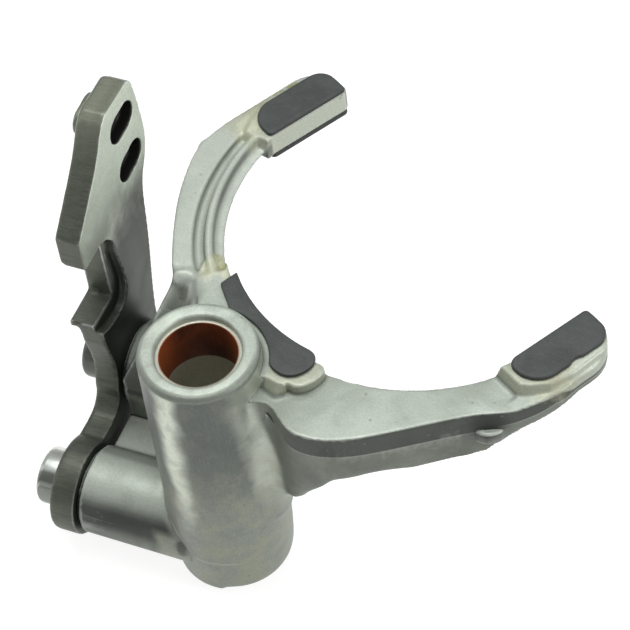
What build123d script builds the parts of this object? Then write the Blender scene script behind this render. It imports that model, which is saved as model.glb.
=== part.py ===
# Gearbox shift fork: an aluminium die casting that slides on a shift rail, with
# plastic pads on its two tips and in its saddle, two bushes in its rail bore and
# a blanked steel selector plate riveted to two side bosses.
# Z is the shift rail axis, z = 0 is the middle plane of the pads, X is square to
# the selector plate, and the fork opens along the direction fork_angle from X.
from build123d import *

import os
from math import cos, radians, sin, sqrt

os.makedirs("parts", exist_ok=True)

# Rail bore, bushes and barrel
rail_dia = 16.0
bush_wall = 1.0
bush_length = 10.5
bush_recess = 1.9
bush_chamfer = 0.35
cored_bore_dia = 17.0
barrel_top = 7.15
barrel_length = 70.3
barrel_top_dia = 25.4
barrel_belly_dia = 27.0
barrel_foot_dia = 25.8
barrel_belly_height = 11.0
barrel_chamfer = 0.8
mouth_chamfer = 0.5

# Fork arms, round the sleeve groove that they reach into
fork_angle = 58.8
hub_reach = 15.4
arm_inner_radius = 41.5
tip_flat_step = 1.05
tip_width = 11.35
tip_reach = 11.4
tip_corner_a = 7.0
tip_corner_b = 8.5
tip_nose = 1.0
web_thickness = 5.74
rim_step = 3.1
rim_depth = 4.6
back_start = 25.0
back_end = 76.0
back_step_a = 7.7
back_step_b = 4.6
arm_depth = 12.9
hub_drop = 0.85

# Width of each arm at angles round the fork centre, from the rail to the tip
arm_a_widths = [(23.4, 12.1), (31.0, 11.5), (41.0, 11.3), (49.0, 11.8), (57.0, 12.5), (65.0, 13.2),
                (71.5, 12.5)]
arm_b_widths = [(22.0, 14.7), (26.0, 15.9), (32.1, 15.2), (39.0, 12.9), (47.1, 10.1), (55.8, 8.3),
                (65.0, 8.0), (71.8, 9.4), (79.0, 10.5)]

# Drop of the gusset under arm B at distances from the barrel
gusset_drops = [(17.8, 0.0), (14.8, 3.3), (12.5, 6.2), (9.3, 11.8), (6.3, 18.3), (3.0, 24.8), (0.0, 29.8)]

root_round = 4.0
hub_round = 8.0
gusset_width = 9.0
arm_bend = 19.9
tip_root = 9.5
platform_a_lead = 0.7
platform_b_lead = 1.9
shoulder_width = 5.2
shoulder_taper = 26.0

# Raised bands on the face of arm A
band_floor = 0.5
outer_band_height = 1.8
inner_strip_width = 1.7
ridge_flank = 1.1
ridge_width = 1.5
groove_width = 1.2
band_start_angle = 24.2
band_end_angle = 74.0

# Gauge lugs on the outer walls
lug_a_angle = 66.8
lug_b_angle = 68.0
lug_a_reach = 13.9
lug_b_reach = 10.0
lug_a_dia = 6.0
lug_b_dia = 8.0
lug_a_top = 1.3
lug_b_top = -4.9
lug_height = 3.0

# Pads
pad_span = 7.7
pad_lead = 10.0
pad_length = 20.9
pad_width = 8.7
pad_near_radius = 5.8
pad_far_radius = 4.0
pad_inner_corner_radius = 1.0
scallop_place = 11.0
scallop_radius = 3.0
scallop_depth = 0.5
pad_edge = 0.35
pad_window_length = 11.0
pad_window_width = 3.0
saddle_pad_wall = 1.35
saddle_pad_half_angle = 18.2
saddle_pad_gap = 0.6

# Selector plate and its seats
plate_face_x = -32.1
plate_thickness = 6.0
lobe_radius = 11.0
lower_boss_y = -2.9
lower_boss_z = -52.3
upper_boss_y = 25.1
upper_boss_z = -40.8
boss_radius = 10.0
boss_reach = 26.0
web_top = -48.6
rib_front = 15.4
rib_depth = 17.0
rib_wall = 4.5
rib_shoulder = -35.8
rib_lip = 2.9
rib_lip_drop = 9.0
rib_lip_length = 11.2
rib_top_x = -15.2
neck_length = 0.9
neck_step = 0.9
rivet_dia = 8.0
rivet_head_dia = 13.0
rivet_head_height = 5.7
rivet_head_edge = 0.8
rivet_grip = 14.0
notch_top = 4.4
notch_bottom = -16.2
notch_depth_y = 23.5
notch_round = 3.4
notch_corner_round = 1.0
plate_near_y = 13.5
half_shear = 1.85
slot_length = 10.4
slot_width = 6.6
slot_push = 3.2
slot_centres = [(38.6, 24.1), (38.95, 11.95)]
slot_tilts = [1.0, 5.0]
shear_draw = 0.1

bush_dia = rail_dia + 2 * bush_wall
web_half = web_thickness / 2
pad_half = pad_span / 2
barrel_foot = barrel_top - barrel_length
plate_back_x = plate_face_x - plate_thickness
fork_offset = arm_inner_radius + hub_reach
hub_depth = arm_depth + hub_drop
barrel_top_radius = barrel_top_dia / 2
tip_flat_half_span = arm_inner_radius - tip_flat_step
tip_outer_half_span = tip_flat_half_span + tip_width
shoulder_half_span = tip_outer_half_span - shoulder_width
tip_end = fork_offset + tip_reach
rim_inner_radius = arm_inner_radius + rim_step
ridge_inner_radius = arm_inner_radius + inner_strip_width + ridge_flank
ridge_outer_radius = ridge_inner_radius + ridge_width
outer_band_inner_radius = ridge_outer_radius + ridge_flank + groove_width + 0.3


def fork_plane(height):
    """Plane whose x runs from the rail axis to the fork centre."""
    return Plane(origin=(0, 0, height), x_dir=(cos(radians(fork_angle)), sin(radians(fork_angle)), 0))


def polar(radius, angle):
    """Point at a radius and angle round the fork centre, 0 degrees facing the rail."""
    return (fork_offset - radius * cos(radians(angle)), radius * sin(radians(angle)))


def ring_sector(inner, outer, start, end):
    """Sketch between two arcs round the fork centre."""
    middle = (start + end) / 2
    with BuildSketch() as sector:
        with BuildLine():
            ThreePointArc(polar(outer, start), polar(outer, middle), polar(outer, end))
            Line(polar(outer, end), polar(inner, end))
            ThreePointArc(polar(inner, end), polar(inner, middle), polar(inner, start))
            Line(polar(inner, start), polar(outer, start))
        make_face()
    return sector.sketch


# Top view of the whole fork: hub, two arms and two tips round the sleeve gap
flat_start = fork_offset - sqrt(arm_inner_radius**2 - tip_flat_half_span**2)
corner_a = (tip_end - tip_corner_a, tip_outer_half_span)
side_a = (tip_end, tip_outer_half_span - tip_corner_a)
corner_b = (tip_end - tip_corner_b, -tip_outer_half_span)
side_b = (tip_end, tip_corner_b - tip_outer_half_span)
with BuildSketch() as fork_outline:
    with BuildLine():
        edge_b = [polar(arm_inner_radius + width, -angle) for angle, width in arm_b_widths]
        side_start = (fork_offset - 1.9, -tip_outer_half_span)
        Polyline((6.0, -9.5), (5.3, -barrel_top_radius - 4.9), edge_b[0])
        Spline(*edge_b, side_start)
        Line(side_start, corner_b)
        RadiusArc(corner_b, side_b, -tip_corner_b)
        Polyline(side_b, (tip_end, -tip_flat_half_span - tip_nose), (tip_end - tip_nose, -tip_flat_half_span),
                 (flat_start, -tip_flat_half_span))
        ThreePointArc((flat_start, -tip_flat_half_span), (fork_offset - arm_inner_radius, 0),
                      (flat_start, tip_flat_half_span))
        Polyline((flat_start, tip_flat_half_span), (tip_end - tip_nose, tip_flat_half_span),
                 (tip_end, tip_flat_half_span + tip_nose), side_a)
        RadiusArc(side_a, corner_a, -tip_corner_a)
        edge_a = [polar(arm_inner_radius + width, angle) for angle, width in arm_a_widths]
        side_end = (fork_offset - 8.9, tip_outer_half_span - 0.2)
        Line(corner_a, side_end)
        Spline(side_end, *reversed(edge_a))
        Polyline(edge_a[0], (5.7, barrel_top_radius + 7.7), (8.0, barrel_top_radius + 3.8), (0.0, 9.0),
                 (6.0, -9.5))
    make_face()

# The same view with the barrel and the fillets where the arms leave it
with BuildSketch() as hub_outline:
    add(fork_outline.sketch)
    Circle(barrel_top_radius)
    roots = hub_outline.vertices().filter_by(lambda v: abs(sqrt(v.X**2 + v.Y**2) - barrel_top_radius) < 0.01)
    fillet(roots, radius=root_round)

# Gap for the sleeve: an arc between the two tip flats
with BuildSketch() as sleeve_gap:
    with BuildLine():
        ThreePointArc((flat_start, -tip_flat_half_span), (fork_offset - arm_inner_radius, 0),
                      (flat_start, tip_flat_half_span))
        Polyline((flat_start, tip_flat_half_span), (tip_end + 5, tip_flat_half_span),
                 (tip_end + 5, -tip_flat_half_span), (flat_start, -tip_flat_half_span))
    make_face()

# Outlines of the tip pads, both drawn for the tip on the +v side
pad_start = fork_offset - pad_lead
pad_outer = tip_flat_half_span + pad_width
pad_sketches = []
for near_inner_radius, has_scallop in ((1.2, False), (2.4, True)):
    with BuildSketch() as pad_outline:
        with Locations((pad_start + pad_length / 2, tip_flat_half_span + pad_width / 2)):
            Rectangle(pad_length, pad_width)
        fillet(pad_outline.vertices().group_by(Axis.Y)[-1].sort_by(Axis.X)[0], radius=pad_near_radius)
        fillet(pad_outline.vertices().group_by(Axis.Y)[-1].sort_by(Axis.X)[-1], radius=pad_far_radius)
        fillet(pad_outline.vertices().group_by(Axis.Y)[0].sort_by(Axis.X)[0], radius=near_inner_radius)
        fillet(pad_outline.vertices().group_by(Axis.Y)[0].sort_by(Axis.X)[-1], radius=pad_inner_corner_radius)
        if has_scallop:
            with Locations((pad_start + scallop_place, pad_outer + scallop_radius - scallop_depth)):
                Circle(scallop_radius, mode=Mode.SUBTRACT)
    pad_sketches.append(pad_outline.sketch)
pad_middle = pad_start + pad_length / 2

# Outline of the saddle pad: a lobe on the arm B side and a neck past the barrel
saddle_clear_radius = barrel_belly_dia / 2 + saddle_pad_gap
saddle_arc_radius = arm_inner_radius - saddle_pad_wall
with BuildSketch() as saddle_outline:
    with BuildLine():
        inner_b = polar(saddle_arc_radius, -saddle_pad_half_angle)
        inner_a = polar(saddle_arc_radius, saddle_pad_half_angle)
        ThreePointArc(inner_a, polar(saddle_arc_radius, 0), inner_b)
        Spline(inner_b, (17.9, -15.3), (14.8, -16.1), (11.3, -14.6), (10.2, -11.4), (11.0, -8.0))
        Polyline((11.0, -8.0), (11.0, 6.0), (12.6, 7.6), (14.4, 12.4), inner_a)
    make_face()
    Circle(saddle_clear_radius, mode=Mode.SUBTRACT)

# Fork casting
barrel_belly = barrel_foot + barrel_belly_height
mouth_radius = bush_dia / 2 + mouth_chamfer
side_plane = Plane(origin=(0, 0, 0), x_dir=fork_plane(0).x_dir, z_dir=-fork_plane(0).y_dir)
fork_centre = fork_plane(0).from_local_coords((fork_offset, 0, 0))

# Raised bands along arm A, turned round the fork centre
band_angle = radians(fork_angle + 180 - band_end_angle)
band_dir = Vector(cos(band_angle), sin(band_angle), 0)
with BuildPart() as arm_a_bands:
    with BuildSketch(Plane(origin=fork_centre, x_dir=band_dir, z_dir=band_dir.cross(Vector(0, 0, 1)))):
        with BuildLine():
            Polyline((arm_inner_radius - 1, -1), (arm_inner_radius - 1, band_floor),
                     (ridge_inner_radius - ridge_flank, band_floor),
                     (ridge_inner_radius - 0.5, band_floor + 0.4),
                     (ridge_inner_radius - 0.1, web_half - 0.3), (ridge_inner_radius + 0.2, web_half),
                     (ridge_outer_radius - 0.3, web_half), (ridge_outer_radius, web_half - 0.3),
                     (ridge_outer_radius + 0.4, band_floor + 0.4),
                     (ridge_outer_radius + ridge_flank, band_floor),
                     (outer_band_inner_radius - 0.3, band_floor),
                     (outer_band_inner_radius - 0.2, band_floor + 0.3),
                     (outer_band_inner_radius, outer_band_height - 0.2),
                     (outer_band_inner_radius + 0.2, outer_band_height),
                     (arm_inner_radius + 20, outer_band_height), (arm_inner_radius + 20, -1),
                     (arm_inner_radius - 1, -1))
        make_face()
    revolve(axis=Axis(fork_centre, (0, 0, 1)), revolution_arc=band_end_angle - band_start_angle)
    with BuildSketch(fork_plane(-1)):
        add(fork_outline.sketch)
    extrude(amount=6, mode=Mode.INTERSECT)

# Ring that slopes the inner wall of an arm back under its upper edge
with BuildPart() as wall_slope:
    with BuildSketch(Plane(origin=fork_centre, x_dir=band_dir, z_dir=band_dir.cross(Vector(0, 0, 1)))):
        with BuildLine():
            Polyline((arm_inner_radius - 2, band_floor - 0.1), (arm_inner_radius + 0.2, band_floor - 0.1),
                     (rim_inner_radius, -web_half - 0.2), (arm_inner_radius - 2, -web_half - 0.2),
                     (arm_inner_radius - 2, band_floor - 0.1))
        make_face()
    revolve(axis=Axis(fork_centre, (0, 0, 1)), revolution_arc=band_end_angle - band_start_angle - 4)

# Ramp on arm B, from the flat up to the shoulder of the tip
with BuildPart() as arm_b_ramp:
    with BuildSketch(side_plane.offset(shoulder_half_span)):
        with BuildLine():
            ramp_start = pad_start - 4.9
            Polyline((ramp_start, -1), (ramp_start, 0), (pad_start, 0.9), (pad_start + 5.0, 1.4),
                     (tip_end, 1.4), (tip_end, -1), (ramp_start, -1))
        make_face()
    extrude(amount=12)
    with BuildSketch(fork_plane(-1)):
        add(fork_outline.sketch)
    extrude(amount=6, mode=Mode.INTERSECT)

# Platforms of the two tips, with sloping shoulders on their outer sides
with BuildPart() as tip_tops:
    with BuildSketch(fork_plane(0)):
        with BuildLine():
            near_a = pad_start - platform_a_lead - 0.6
            platform_inner = tip_flat_half_span - 4.5
            Polyline((near_a, platform_inner), (tip_end + 1.7, platform_inner),
                     (tip_end + 1.7, pad_outer - 4.5), (tip_end + 0.1, pad_outer - 0.5),
                     (tip_end - 3.5, pad_outer + 1.7),
                     (pad_start + 9.1, pad_outer + 2.0), (pad_start + 3.7, pad_outer + 1.4),
                     (pad_start - 0.5, pad_outer - 0.2), (pad_start - 4.1, pad_outer - 2.4),
                     (pad_start - 3.9, pad_outer - 5.2), (near_a - 1.2, tip_flat_half_span + 0.5),
                     (near_a, platform_inner))
        make_face()
        with BuildLine():
            near_b = pad_start - platform_b_lead - 0.6
            Polyline((near_b, -platform_inner), (near_b, -pad_outer + 2.5),
                     (pad_start - 0.7, -pad_outer + 0.5), (pad_start + 3.1, -pad_outer - 2.0),
                     (pad_start + 9.1, -pad_outer - 3.0),
                     (tip_end - 3.3, -pad_outer - 2.4), (tip_end + 0.5, -pad_outer + 0.1),
                     (tip_end + 1.7, -pad_outer + 4.5), (tip_end + 1.7, -platform_inner),
                     (near_b, -platform_inner))
        make_face()
    extrude(amount=web_half, taper=shoulder_taper)
    with BuildSketch(fork_plane(-1)):
        add(fork_outline.sketch)
    extrude(amount=6, mode=Mode.INTERSECT)

# Gusset under the root of arm B, from its outer wall down the barrel
with BuildPart() as arm_b_gusset:
    gusset_plane = Plane(origin=(0, 0, -hub_depth), x_dir=-fork_plane(0).y_dir, z_dir=-fork_plane(0).x_dir)
    with BuildSketch(gusset_plane):
        with BuildLine():
            slope = [(barrel_top_radius + reach, -drop) for reach, drop in gusset_drops]
            Spline(*slope)
            Polyline(slope[-1], (0, slope[-1][1]), (0, 1), (slope[0][0], 1), slope[0])
        make_face()
    extrude(amount=-gusset_width)
    with BuildSketch(fork_plane(-barrel_length)):
        add(hub_outline.sketch)
    extrude(amount=barrel_length, mode=Mode.INTERSECT)

# Ring of the fillet between the hub and the barrel, kept only under the hub
with BuildPart() as hub_fillet:
    with BuildSketch(Plane.XZ):
        with BuildLine():
            fillet_rim = (barrel_top_radius + hub_round, -hub_depth)
            fillet_foot = (barrel_top_radius, -hub_depth - hub_round)
            Polyline(fillet_foot, (barrel_top_radius - 1, -hub_depth - hub_round),
                     (barrel_top_radius - 1, -hub_depth + 0.5),
                     (barrel_top_radius + hub_round, -hub_depth + 0.5), fillet_rim)
            RadiusArc(fillet_rim, fillet_foot, -hub_round)
        make_face()
    revolve(axis=Axis.Z)
    with BuildSketch(fork_plane(-2 * hub_depth)):
        add(hub_outline.sketch)
    extrude(amount=2 * hub_depth, mode=Mode.INTERSECT)

with BuildPart() as fork_casting:
    # Arms and hub, from the flat of arm B downwards
    with BuildSketch(fork_plane(0)):
        add(hub_outline.sketch)
    extrude(amount=-hub_depth)
    # Depth along the fork: deep hub, arm ribs, then a ramp up to the thin tips
    with BuildSketch(side_plane):
        with BuildLine():
            bend = fork_offset - arm_bend
            Polyline((-20, 1), (tip_end + 5, 1), (tip_end + 5, -web_half), (tip_end - 12, -web_half),
                     (tip_end - 16, -3.4), (tip_end - 19, -4.2), (tip_end - 22, -5.0), (bend + 6.3, -5.9),
                     (bend + 3, -8.4), (bend, -arm_depth + 0.9), (bend - 3, -arm_depth),
                     (16.0, -arm_depth), (11.0, -hub_depth), (-20, -hub_depth), (-20, 1))
        make_face()
    extrude(amount=90, both=True, mode=Mode.INTERSECT)
    # Tip ends, platforms and arm features
    add(arm_a_bands.part)
    with BuildSketch(fork_plane(0)):
        with BuildLine():
            band_side = pad_outer - 2.2
            Polyline((pad_start - 4.9, band_side), (tip_end, band_side), (tip_end, band_side + 7),
                     (pad_start - 4.9, band_side + 7), (pad_start - 4.9, band_side))
        make_face()
        add(fork_outline.sketch, mode=Mode.INTERSECT)
    extrude(amount=outer_band_height)
    add(arm_b_ramp.part)
    with BuildSketch(fork_plane(-web_half)):
        tip_middle = (fork_offset - tip_root + tip_end) / 2
        with Locations((tip_middle, tip_outer_half_span - 5.8), (tip_middle, 5.8 - tip_outer_half_span)):
            Rectangle(tip_reach + tip_root, 16)
        add(fork_outline.sketch, mode=Mode.INTERSECT)
    extrude(amount=web_half + 0.4)
    add(tip_tops.part)
    # Saddle platform, with its lobe on the arm B side
    with BuildSketch(fork_plane(0)):
        with BuildLine():
            right_end = polar(arm_inner_radius, -22.8)
            left_end = polar(arm_inner_radius, band_start_angle + 2)
            ThreePointArc(left_end, polar(arm_inner_radius, 0), right_end)
            Spline(right_end, (18.3, -17.8), (16.0, -18.7), (13.6, -18.6), (11.6, -17.7), (10.6, -16.0))
            Polyline((10.6, -16.0), (10.2, -13.6), (4.0, -8.0), (3.0, 8.0), (8.6, 13.5), (9.8, 15.8),
                     (10.9, 18.0), (12.3, 19.6), (14.2, 21.9), left_end)
        make_face()
    extrude(amount=web_half)
    # Tapered gusset from the lobe down the barrel wall
    with BuildSketch(fork_plane(-0.2)):
        with BuildLine():
            Polyline((7.1, -15.6), (10.0, -16.2), (10.4, -12.0), (6.0, -10.0), (7.1, -15.6))
        make_face()
    with BuildSketch(fork_plane(web_half)):
        with BuildLine():
            Polyline((8.9, -14.1), (9.9, -16.0), (10.4, -12.0), (8.0, -11.0), (8.9, -14.1))
        make_face()
    loft(ruled=True)
    # Side bosses for the selector plate
    with BuildSketch(Plane.YZ.offset(plate_face_x + neck_length)):
        with Locations((lower_boss_y, lower_boss_z)):
            Circle(boss_radius)
    extrude(amount=-(plate_face_x + neck_length))
    with BuildSketch(Plane.YZ.offset(plate_face_x + neck_length)):
        with Locations((upper_boss_y, upper_boss_z)):
            Circle(boss_radius)
    extrude(amount=boss_reach)
    with BuildSketch(Plane.YZ.offset(plate_face_x)):
        with Locations((lower_boss_y, lower_boss_z), (upper_boss_y, upper_boss_z)):
            Circle(boss_radius - neck_step)
    extrude(amount=neck_length)
    # Web between the bosses
    with BuildSketch(Plane.YZ.offset(plate_face_x + neck_length)):
        with BuildLine():
            Polyline((lower_boss_y, web_top), (upper_boss_y, web_top),
                     (upper_boss_y + 3.0, upper_boss_z - 8.0), (lower_boss_y + 3.2, lower_boss_z - 8.4),
                     (lower_boss_y, web_top))
        make_face()
    extrude(amount=boss_reach)
    # Rib from the upper boss up to the root of arm A, hollowed from behind
    with BuildSketch(Plane.XZ.offset(-rib_front)):
        with BuildLine():
            rib_foot = plate_face_x + neck_length
            Polyline((rib_foot, web_top), (rib_foot, rib_shoulder), (rib_top_x, 0), (-4.0, 0),
                     (-4.0, web_top), (rib_foot, web_top))
        make_face()
    extrude(amount=-rib_depth)
    with BuildSketch(Plane.XZ.offset(-rib_front - rib_wall)):
        with BuildLine():
            rib_slope = (rib_foot - rib_top_x) / rib_shoulder
            low_z = upper_boss_z + boss_radius + 1.0
            high_z = -hub_depth - 1.5
            low_x = rib_foot + rib_slope * (low_z - rib_shoulder) + rib_wall
            high_x = rib_foot + rib_slope * (high_z - rib_shoulder) + rib_wall
            Polyline((low_x, low_z), (high_x, high_z), (-8.0, high_z), (-8.0, low_z), (low_x, low_z))
        make_face()
    extrude(amount=-rib_depth, mode=Mode.SUBTRACT)
    # Sloping top of the rib's front, with the small pocket beside the band's end
    with BuildSketch(Plane.YZ.offset(rib_top_x - 6)):
        with BuildLine():
            Polyline((rib_front - 0.1, 0.1), (rib_front + rib_lip, 0.1), (rib_front - 0.1, -rib_lip_drop),
                     (rib_front - 0.1, 0.1))
        make_face()
    extrude(amount=rib_lip_length, mode=Mode.SUBTRACT)
    # Wall from the rib to the barrel
    with BuildSketch(Plane.XY.offset(web_top)):
        with BuildLine():
            Polyline((-10.0, 6.0), (-10.0, rib_front + 1), (-4.0, rib_front + rib_wall), (2.0, rib_front + 1),
                     (4.0, 6.0), (-10.0, 6.0))
        make_face()
    extrude(amount=-web_top - 3.0)
    # Sleeve gap, the step for the sleeve's rim under the saddle, and the open backs of the arms
    with BuildSketch(fork_plane(-web_half)):
        add(sleeve_gap.sketch)
    extrude(amount=2 * web_thickness, mode=Mode.SUBTRACT)
    with BuildSketch(fork_plane(-web_half)):
        with Locations((fork_offset, 0)):
            Circle(rim_inner_radius)
    extrude(amount=-rim_depth, mode=Mode.SUBTRACT)
    with BuildSketch(fork_plane(-web_half - rim_depth)):
        with Locations((fork_offset, 0)):
            Circle(arm_inner_radius)
    extrude(amount=-barrel_length, mode=Mode.SUBTRACT)
    with BuildSketch(fork_plane(-web_half)):
        add(ring_sector(arm_inner_radius - 3, arm_inner_radius + back_step_a, back_start, back_end))
        add(ring_sector(arm_inner_radius - 3, arm_inner_radius + back_step_b, -back_end, -back_start))
        for side in (1, -1):
            with BuildLine():
                Polyline(polar(arm_inner_radius - 3, side * back_end),
                         polar(arm_inner_radius + back_step_a - 1, side * back_end),
                         (pad_start + 4.1, side * (pad_outer + 0.3)), (tip_end + 2, side * (pad_outer + 0.3)),
                         (tip_end + 2, side * (tip_flat_half_span - 2)),
                         polar(arm_inner_radius - 3, side * back_end))
            make_face()
    extrude(amount=-barrel_length, mode=Mode.SUBTRACT)
    add(wall_slope.part, mode=Mode.SUBTRACT)
    # Large fillet from the underside of the hub down the barrel
    add(hub_fillet.part)
    add(arm_b_gusset.part)
    # Barrel
    with BuildSketch(Plane.XZ):
        with BuildLine():
            Polyline((0, barrel_foot), (barrel_foot_dia / 2 - barrel_chamfer, barrel_foot),
                     (barrel_foot_dia / 2, barrel_foot + barrel_chamfer),
                     (barrel_belly_dia / 2, barrel_belly),
                     (barrel_top_radius, barrel_top - barrel_chamfer),
                     (barrel_top_radius - barrel_chamfer, barrel_top), (0, barrel_top),
                     (0, barrel_foot))
        make_face()
    revolve(axis=Axis.Z)
    # Gauge lugs
    for reach, angle, top, dia in ((lug_a_reach, lug_a_angle, lug_a_top, lug_a_dia),
                                   (lug_b_reach, -lug_b_angle, lug_b_top, lug_b_dia)):
        with BuildSketch(fork_plane(top)):
            with Locations(polar(arm_inner_radius + reach - dia / 2, angle)):
                Circle(dia / 2)
        extrude(amount=-lug_height)
    # Rail bore: bush seats, cored middle and mouth chamfers
    with BuildSketch(Plane.XZ):
        with BuildLine():
            top_seat = barrel_top - bush_recess - bush_length
            foot_seat = barrel_foot + bush_recess + bush_length
            Polyline((0, barrel_top), (mouth_radius, barrel_top), (bush_dia / 2, barrel_top - mouth_chamfer),
                     (bush_dia / 2, top_seat), (cored_bore_dia / 2, top_seat),
                     (cored_bore_dia / 2, foot_seat), (bush_dia / 2, foot_seat),
                     (bush_dia / 2, barrel_foot + mouth_chamfer), (mouth_radius, barrel_foot),
                     (0, barrel_foot), (0, barrel_top))
        make_face()
    revolve(axis=Axis.Z, mode=Mode.SUBTRACT)
    # Rivet bores
    with BuildSketch(Plane.YZ.offset(plate_face_x)):
        with Locations((lower_boss_y, lower_boss_z), (upper_boss_y, upper_boss_z)):
            Circle(rivet_dia / 2)
    extrude(amount=rivet_grip, mode=Mode.SUBTRACT)
    # Windows that the tip pads are moulded through
    with BuildSketch(fork_plane(web_half)):
        with Locations((pad_middle, tip_flat_half_span + pad_width / 2),
                       (pad_middle, -tip_flat_half_span - pad_width / 2)):
            Rectangle(pad_window_length, pad_window_width)
    extrude(amount=-web_thickness, mode=Mode.SUBTRACT)
fork_casting.part.label = "fork_casting"
export_step(fork_casting.part, "parts/fork_casting.step")

# Bushes
for name, seat in (("upper_bush", barrel_top - bush_recess - bush_length),
                   ("lower_bush", barrel_foot + bush_recess)):
    with BuildPart() as bush:
        with BuildSketch(Plane.XY.offset(seat)):
            Circle(bush_dia / 2)
            Circle(rail_dia / 2, mode=Mode.SUBTRACT)
        extrude(amount=bush_length)
        chamfer(bush.edges().filter_by(GeomType.CIRCLE).filter_by(lambda e: e.radius < bush_dia / 2 - 0.1),
                length=bush_chamfer)
    bush.part.label = name
    export_step(bush.part, f"parts/{name}.step")

# Tip pads: a front and a back pad joined through a window in the tip
for name, pad_sketch, side in (("tip_pad_left", pad_sketches[0], 1),
                               ("tip_pad_right", mirror(pad_sketches[1], about=Plane.XZ), -1)):
    with BuildPart() as tip_pad:
        for start, amount in ((web_half, pad_half - web_half), (-pad_half, pad_half - web_half)):
            with BuildSketch(fork_plane(start)):
                add(pad_sketch)
            extrude(amount=amount)
        with BuildSketch(fork_plane(-web_half)):
            with Locations((pad_middle, side * (tip_flat_half_span + pad_width / 2))):
                Rectangle(pad_window_length, pad_window_width)
        extrude(amount=web_thickness)
        chamfer(tip_pad.edges().group_by(Axis.Z)[-1], length=pad_edge)
        chamfer(tip_pad.edges().group_by(Axis.Z)[0], length=pad_edge)
    tip_pad.part.label = name
    export_step(tip_pad.part, f"parts/{name}.step")

# Saddle pad: front face, back crescent and the wall round the inner edge
with BuildPart() as saddle_pad:
    with BuildSketch(fork_plane(web_half)):
        add(saddle_outline.sketch)
    extrude(amount=pad_half - web_half)
    with BuildSketch(fork_plane(-pad_half)):
        add(ring_sector(saddle_arc_radius, rim_inner_radius - 0.3,
                        -saddle_pad_half_angle, saddle_pad_half_angle))
        Circle(saddle_clear_radius, mode=Mode.SUBTRACT)
    extrude(amount=pad_half - web_half)
    with BuildSketch(fork_plane(-web_half)):
        add(ring_sector(saddle_arc_radius, arm_inner_radius, -saddle_pad_half_angle, saddle_pad_half_angle))
    extrude(amount=web_thickness)
saddle_pad.part.label = "saddle_pad"
export_step(saddle_pad.part, "parts/saddle_pad.step")

# Selector plate: blanked outline, notch with its half-sheared rim, two half-pierced slots
lower_boss = Vector(lower_boss_y, lower_boss_z)
upper_boss = Vector(upper_boss_y, upper_boss_z)
boss_run = (upper_boss - lower_boss).normalized()
lobe_side = Vector(boss_run.Y, -boss_run.X) * lobe_radius
with BuildSketch() as plate_outline:
    with BuildLine():
        head_back = [(45.2, 30.0), (45.7, 27.0), (46.3, 22.0), (46.6, 16.0), (46.2, 10.9), (44.6, 7.1),
                     (42.6, 4.0), (41.4, 0.5), (40.5, -6.0), (39.2, -15.5), (36.9, -28.3),
                     (36.0, upper_boss_z)]
        Polyline((33.2, 32.2), (43.4, 31.8), (45.2, 30.0))
        Spline(*head_back)
        Polyline((36.0, upper_boss_z), (15.2, upper_boss_z), (14.2, -38.6))
        Spline((14.2, -38.6), (15.5, -34.0), (15.6, -30.5), (14.9, -26.0), (14.1, -19.8))
        Polyline((14.1, -19.8), (14.1, notch_bottom), (notch_depth_y, notch_bottom),
                 (notch_depth_y, notch_top), (plate_near_y, notch_top), (plate_near_y, 12.8),
                 (18.6, 17.3), (25.1, 23.3), (27.6, 26.3), (29.2, 28.8), (31.0, 30.9), (33.2, 32.2))
    make_face()
    with BuildLine():
        Polyline(lower_boss + lobe_side, upper_boss + lobe_side, upper_boss, (15.2, upper_boss_z),
                 (14.2, -38.6))
        Spline((14.2, -38.6), (13.2, -42.2), (10.8, -43.8), (8.0, -44.1), (4.6, -44.0))
        Polyline((4.6, -44.0), lower_boss, lower_boss + lobe_side)
    make_face()
    with Locations(lower_boss, upper_boss):
        Circle(lobe_radius)
    notch_corners = plate_outline.vertices().filter_by(lambda v: abs(v.X - notch_depth_y) < 0.01)
    fillet(notch_corners.sort_by(Axis.Y)[-1], radius=notch_round)
    fillet(notch_corners.sort_by(Axis.Y)[0], radius=notch_corner_round)
with BuildSketch() as notch_rim:
    with BuildLine():
        Spline((21.0, notch_top), (23.6, 2.9), (25.5, 0.0), (25.9, -3.0), (26.4, -7.5), (27.0, -12.8),
               (26.4, -17.3), (24.6, -19.3), (20.4, -19.7), (16.6, -19.0), (13.4, -17.2))
        Polyline((13.4, -17.2), (8.0, -17.2), (8.0, notch_top), (21.0, notch_top))
    make_face()
    add(plate_outline.sketch, mode=Mode.INTERSECT)
with BuildPart() as selector_plate:
    with BuildSketch(Plane.YZ.offset(plate_face_x)):
        add(plate_outline.sketch)
    extrude(amount=-plate_thickness)
    with BuildSketch(Plane.YZ.offset(plate_face_x)):
        add(notch_rim.sketch)
    extrude(amount=-half_shear, mode=Mode.SUBTRACT)
    with BuildSketch(Plane.YZ.offset(plate_back_x)):
        add(notch_rim.sketch)
    extrude(amount=-half_shear)
    with BuildSketch(Plane.YZ.offset(plate_face_x)):
        for (y, z), tilt in zip(slot_centres, slot_tilts):
            with Locations(Location((y, z), tilt)):
                SlotOverall(slot_length, slot_width)
    extrude(amount=-slot_push, mode=Mode.SUBTRACT)
    with BuildSketch(Plane.YZ.offset(plate_back_x)):
        for (y, z), tilt in zip(slot_centres, slot_tilts):
            with Locations(Location((y, z), tilt)):
                SlotOverall(slot_length - 2 * shear_draw, slot_width - 2 * shear_draw)
    extrude(amount=-slot_push)
    with BuildSketch(Plane.YZ.offset(plate_face_x)):
        with Locations(lower_boss, upper_boss):
            Circle(rivet_dia / 2)
    extrude(amount=-plate_thickness, mode=Mode.SUBTRACT)
selector_plate.part.label = "selector_plate"
export_step(selector_plate.part, "parts/selector_plate.step")

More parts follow.
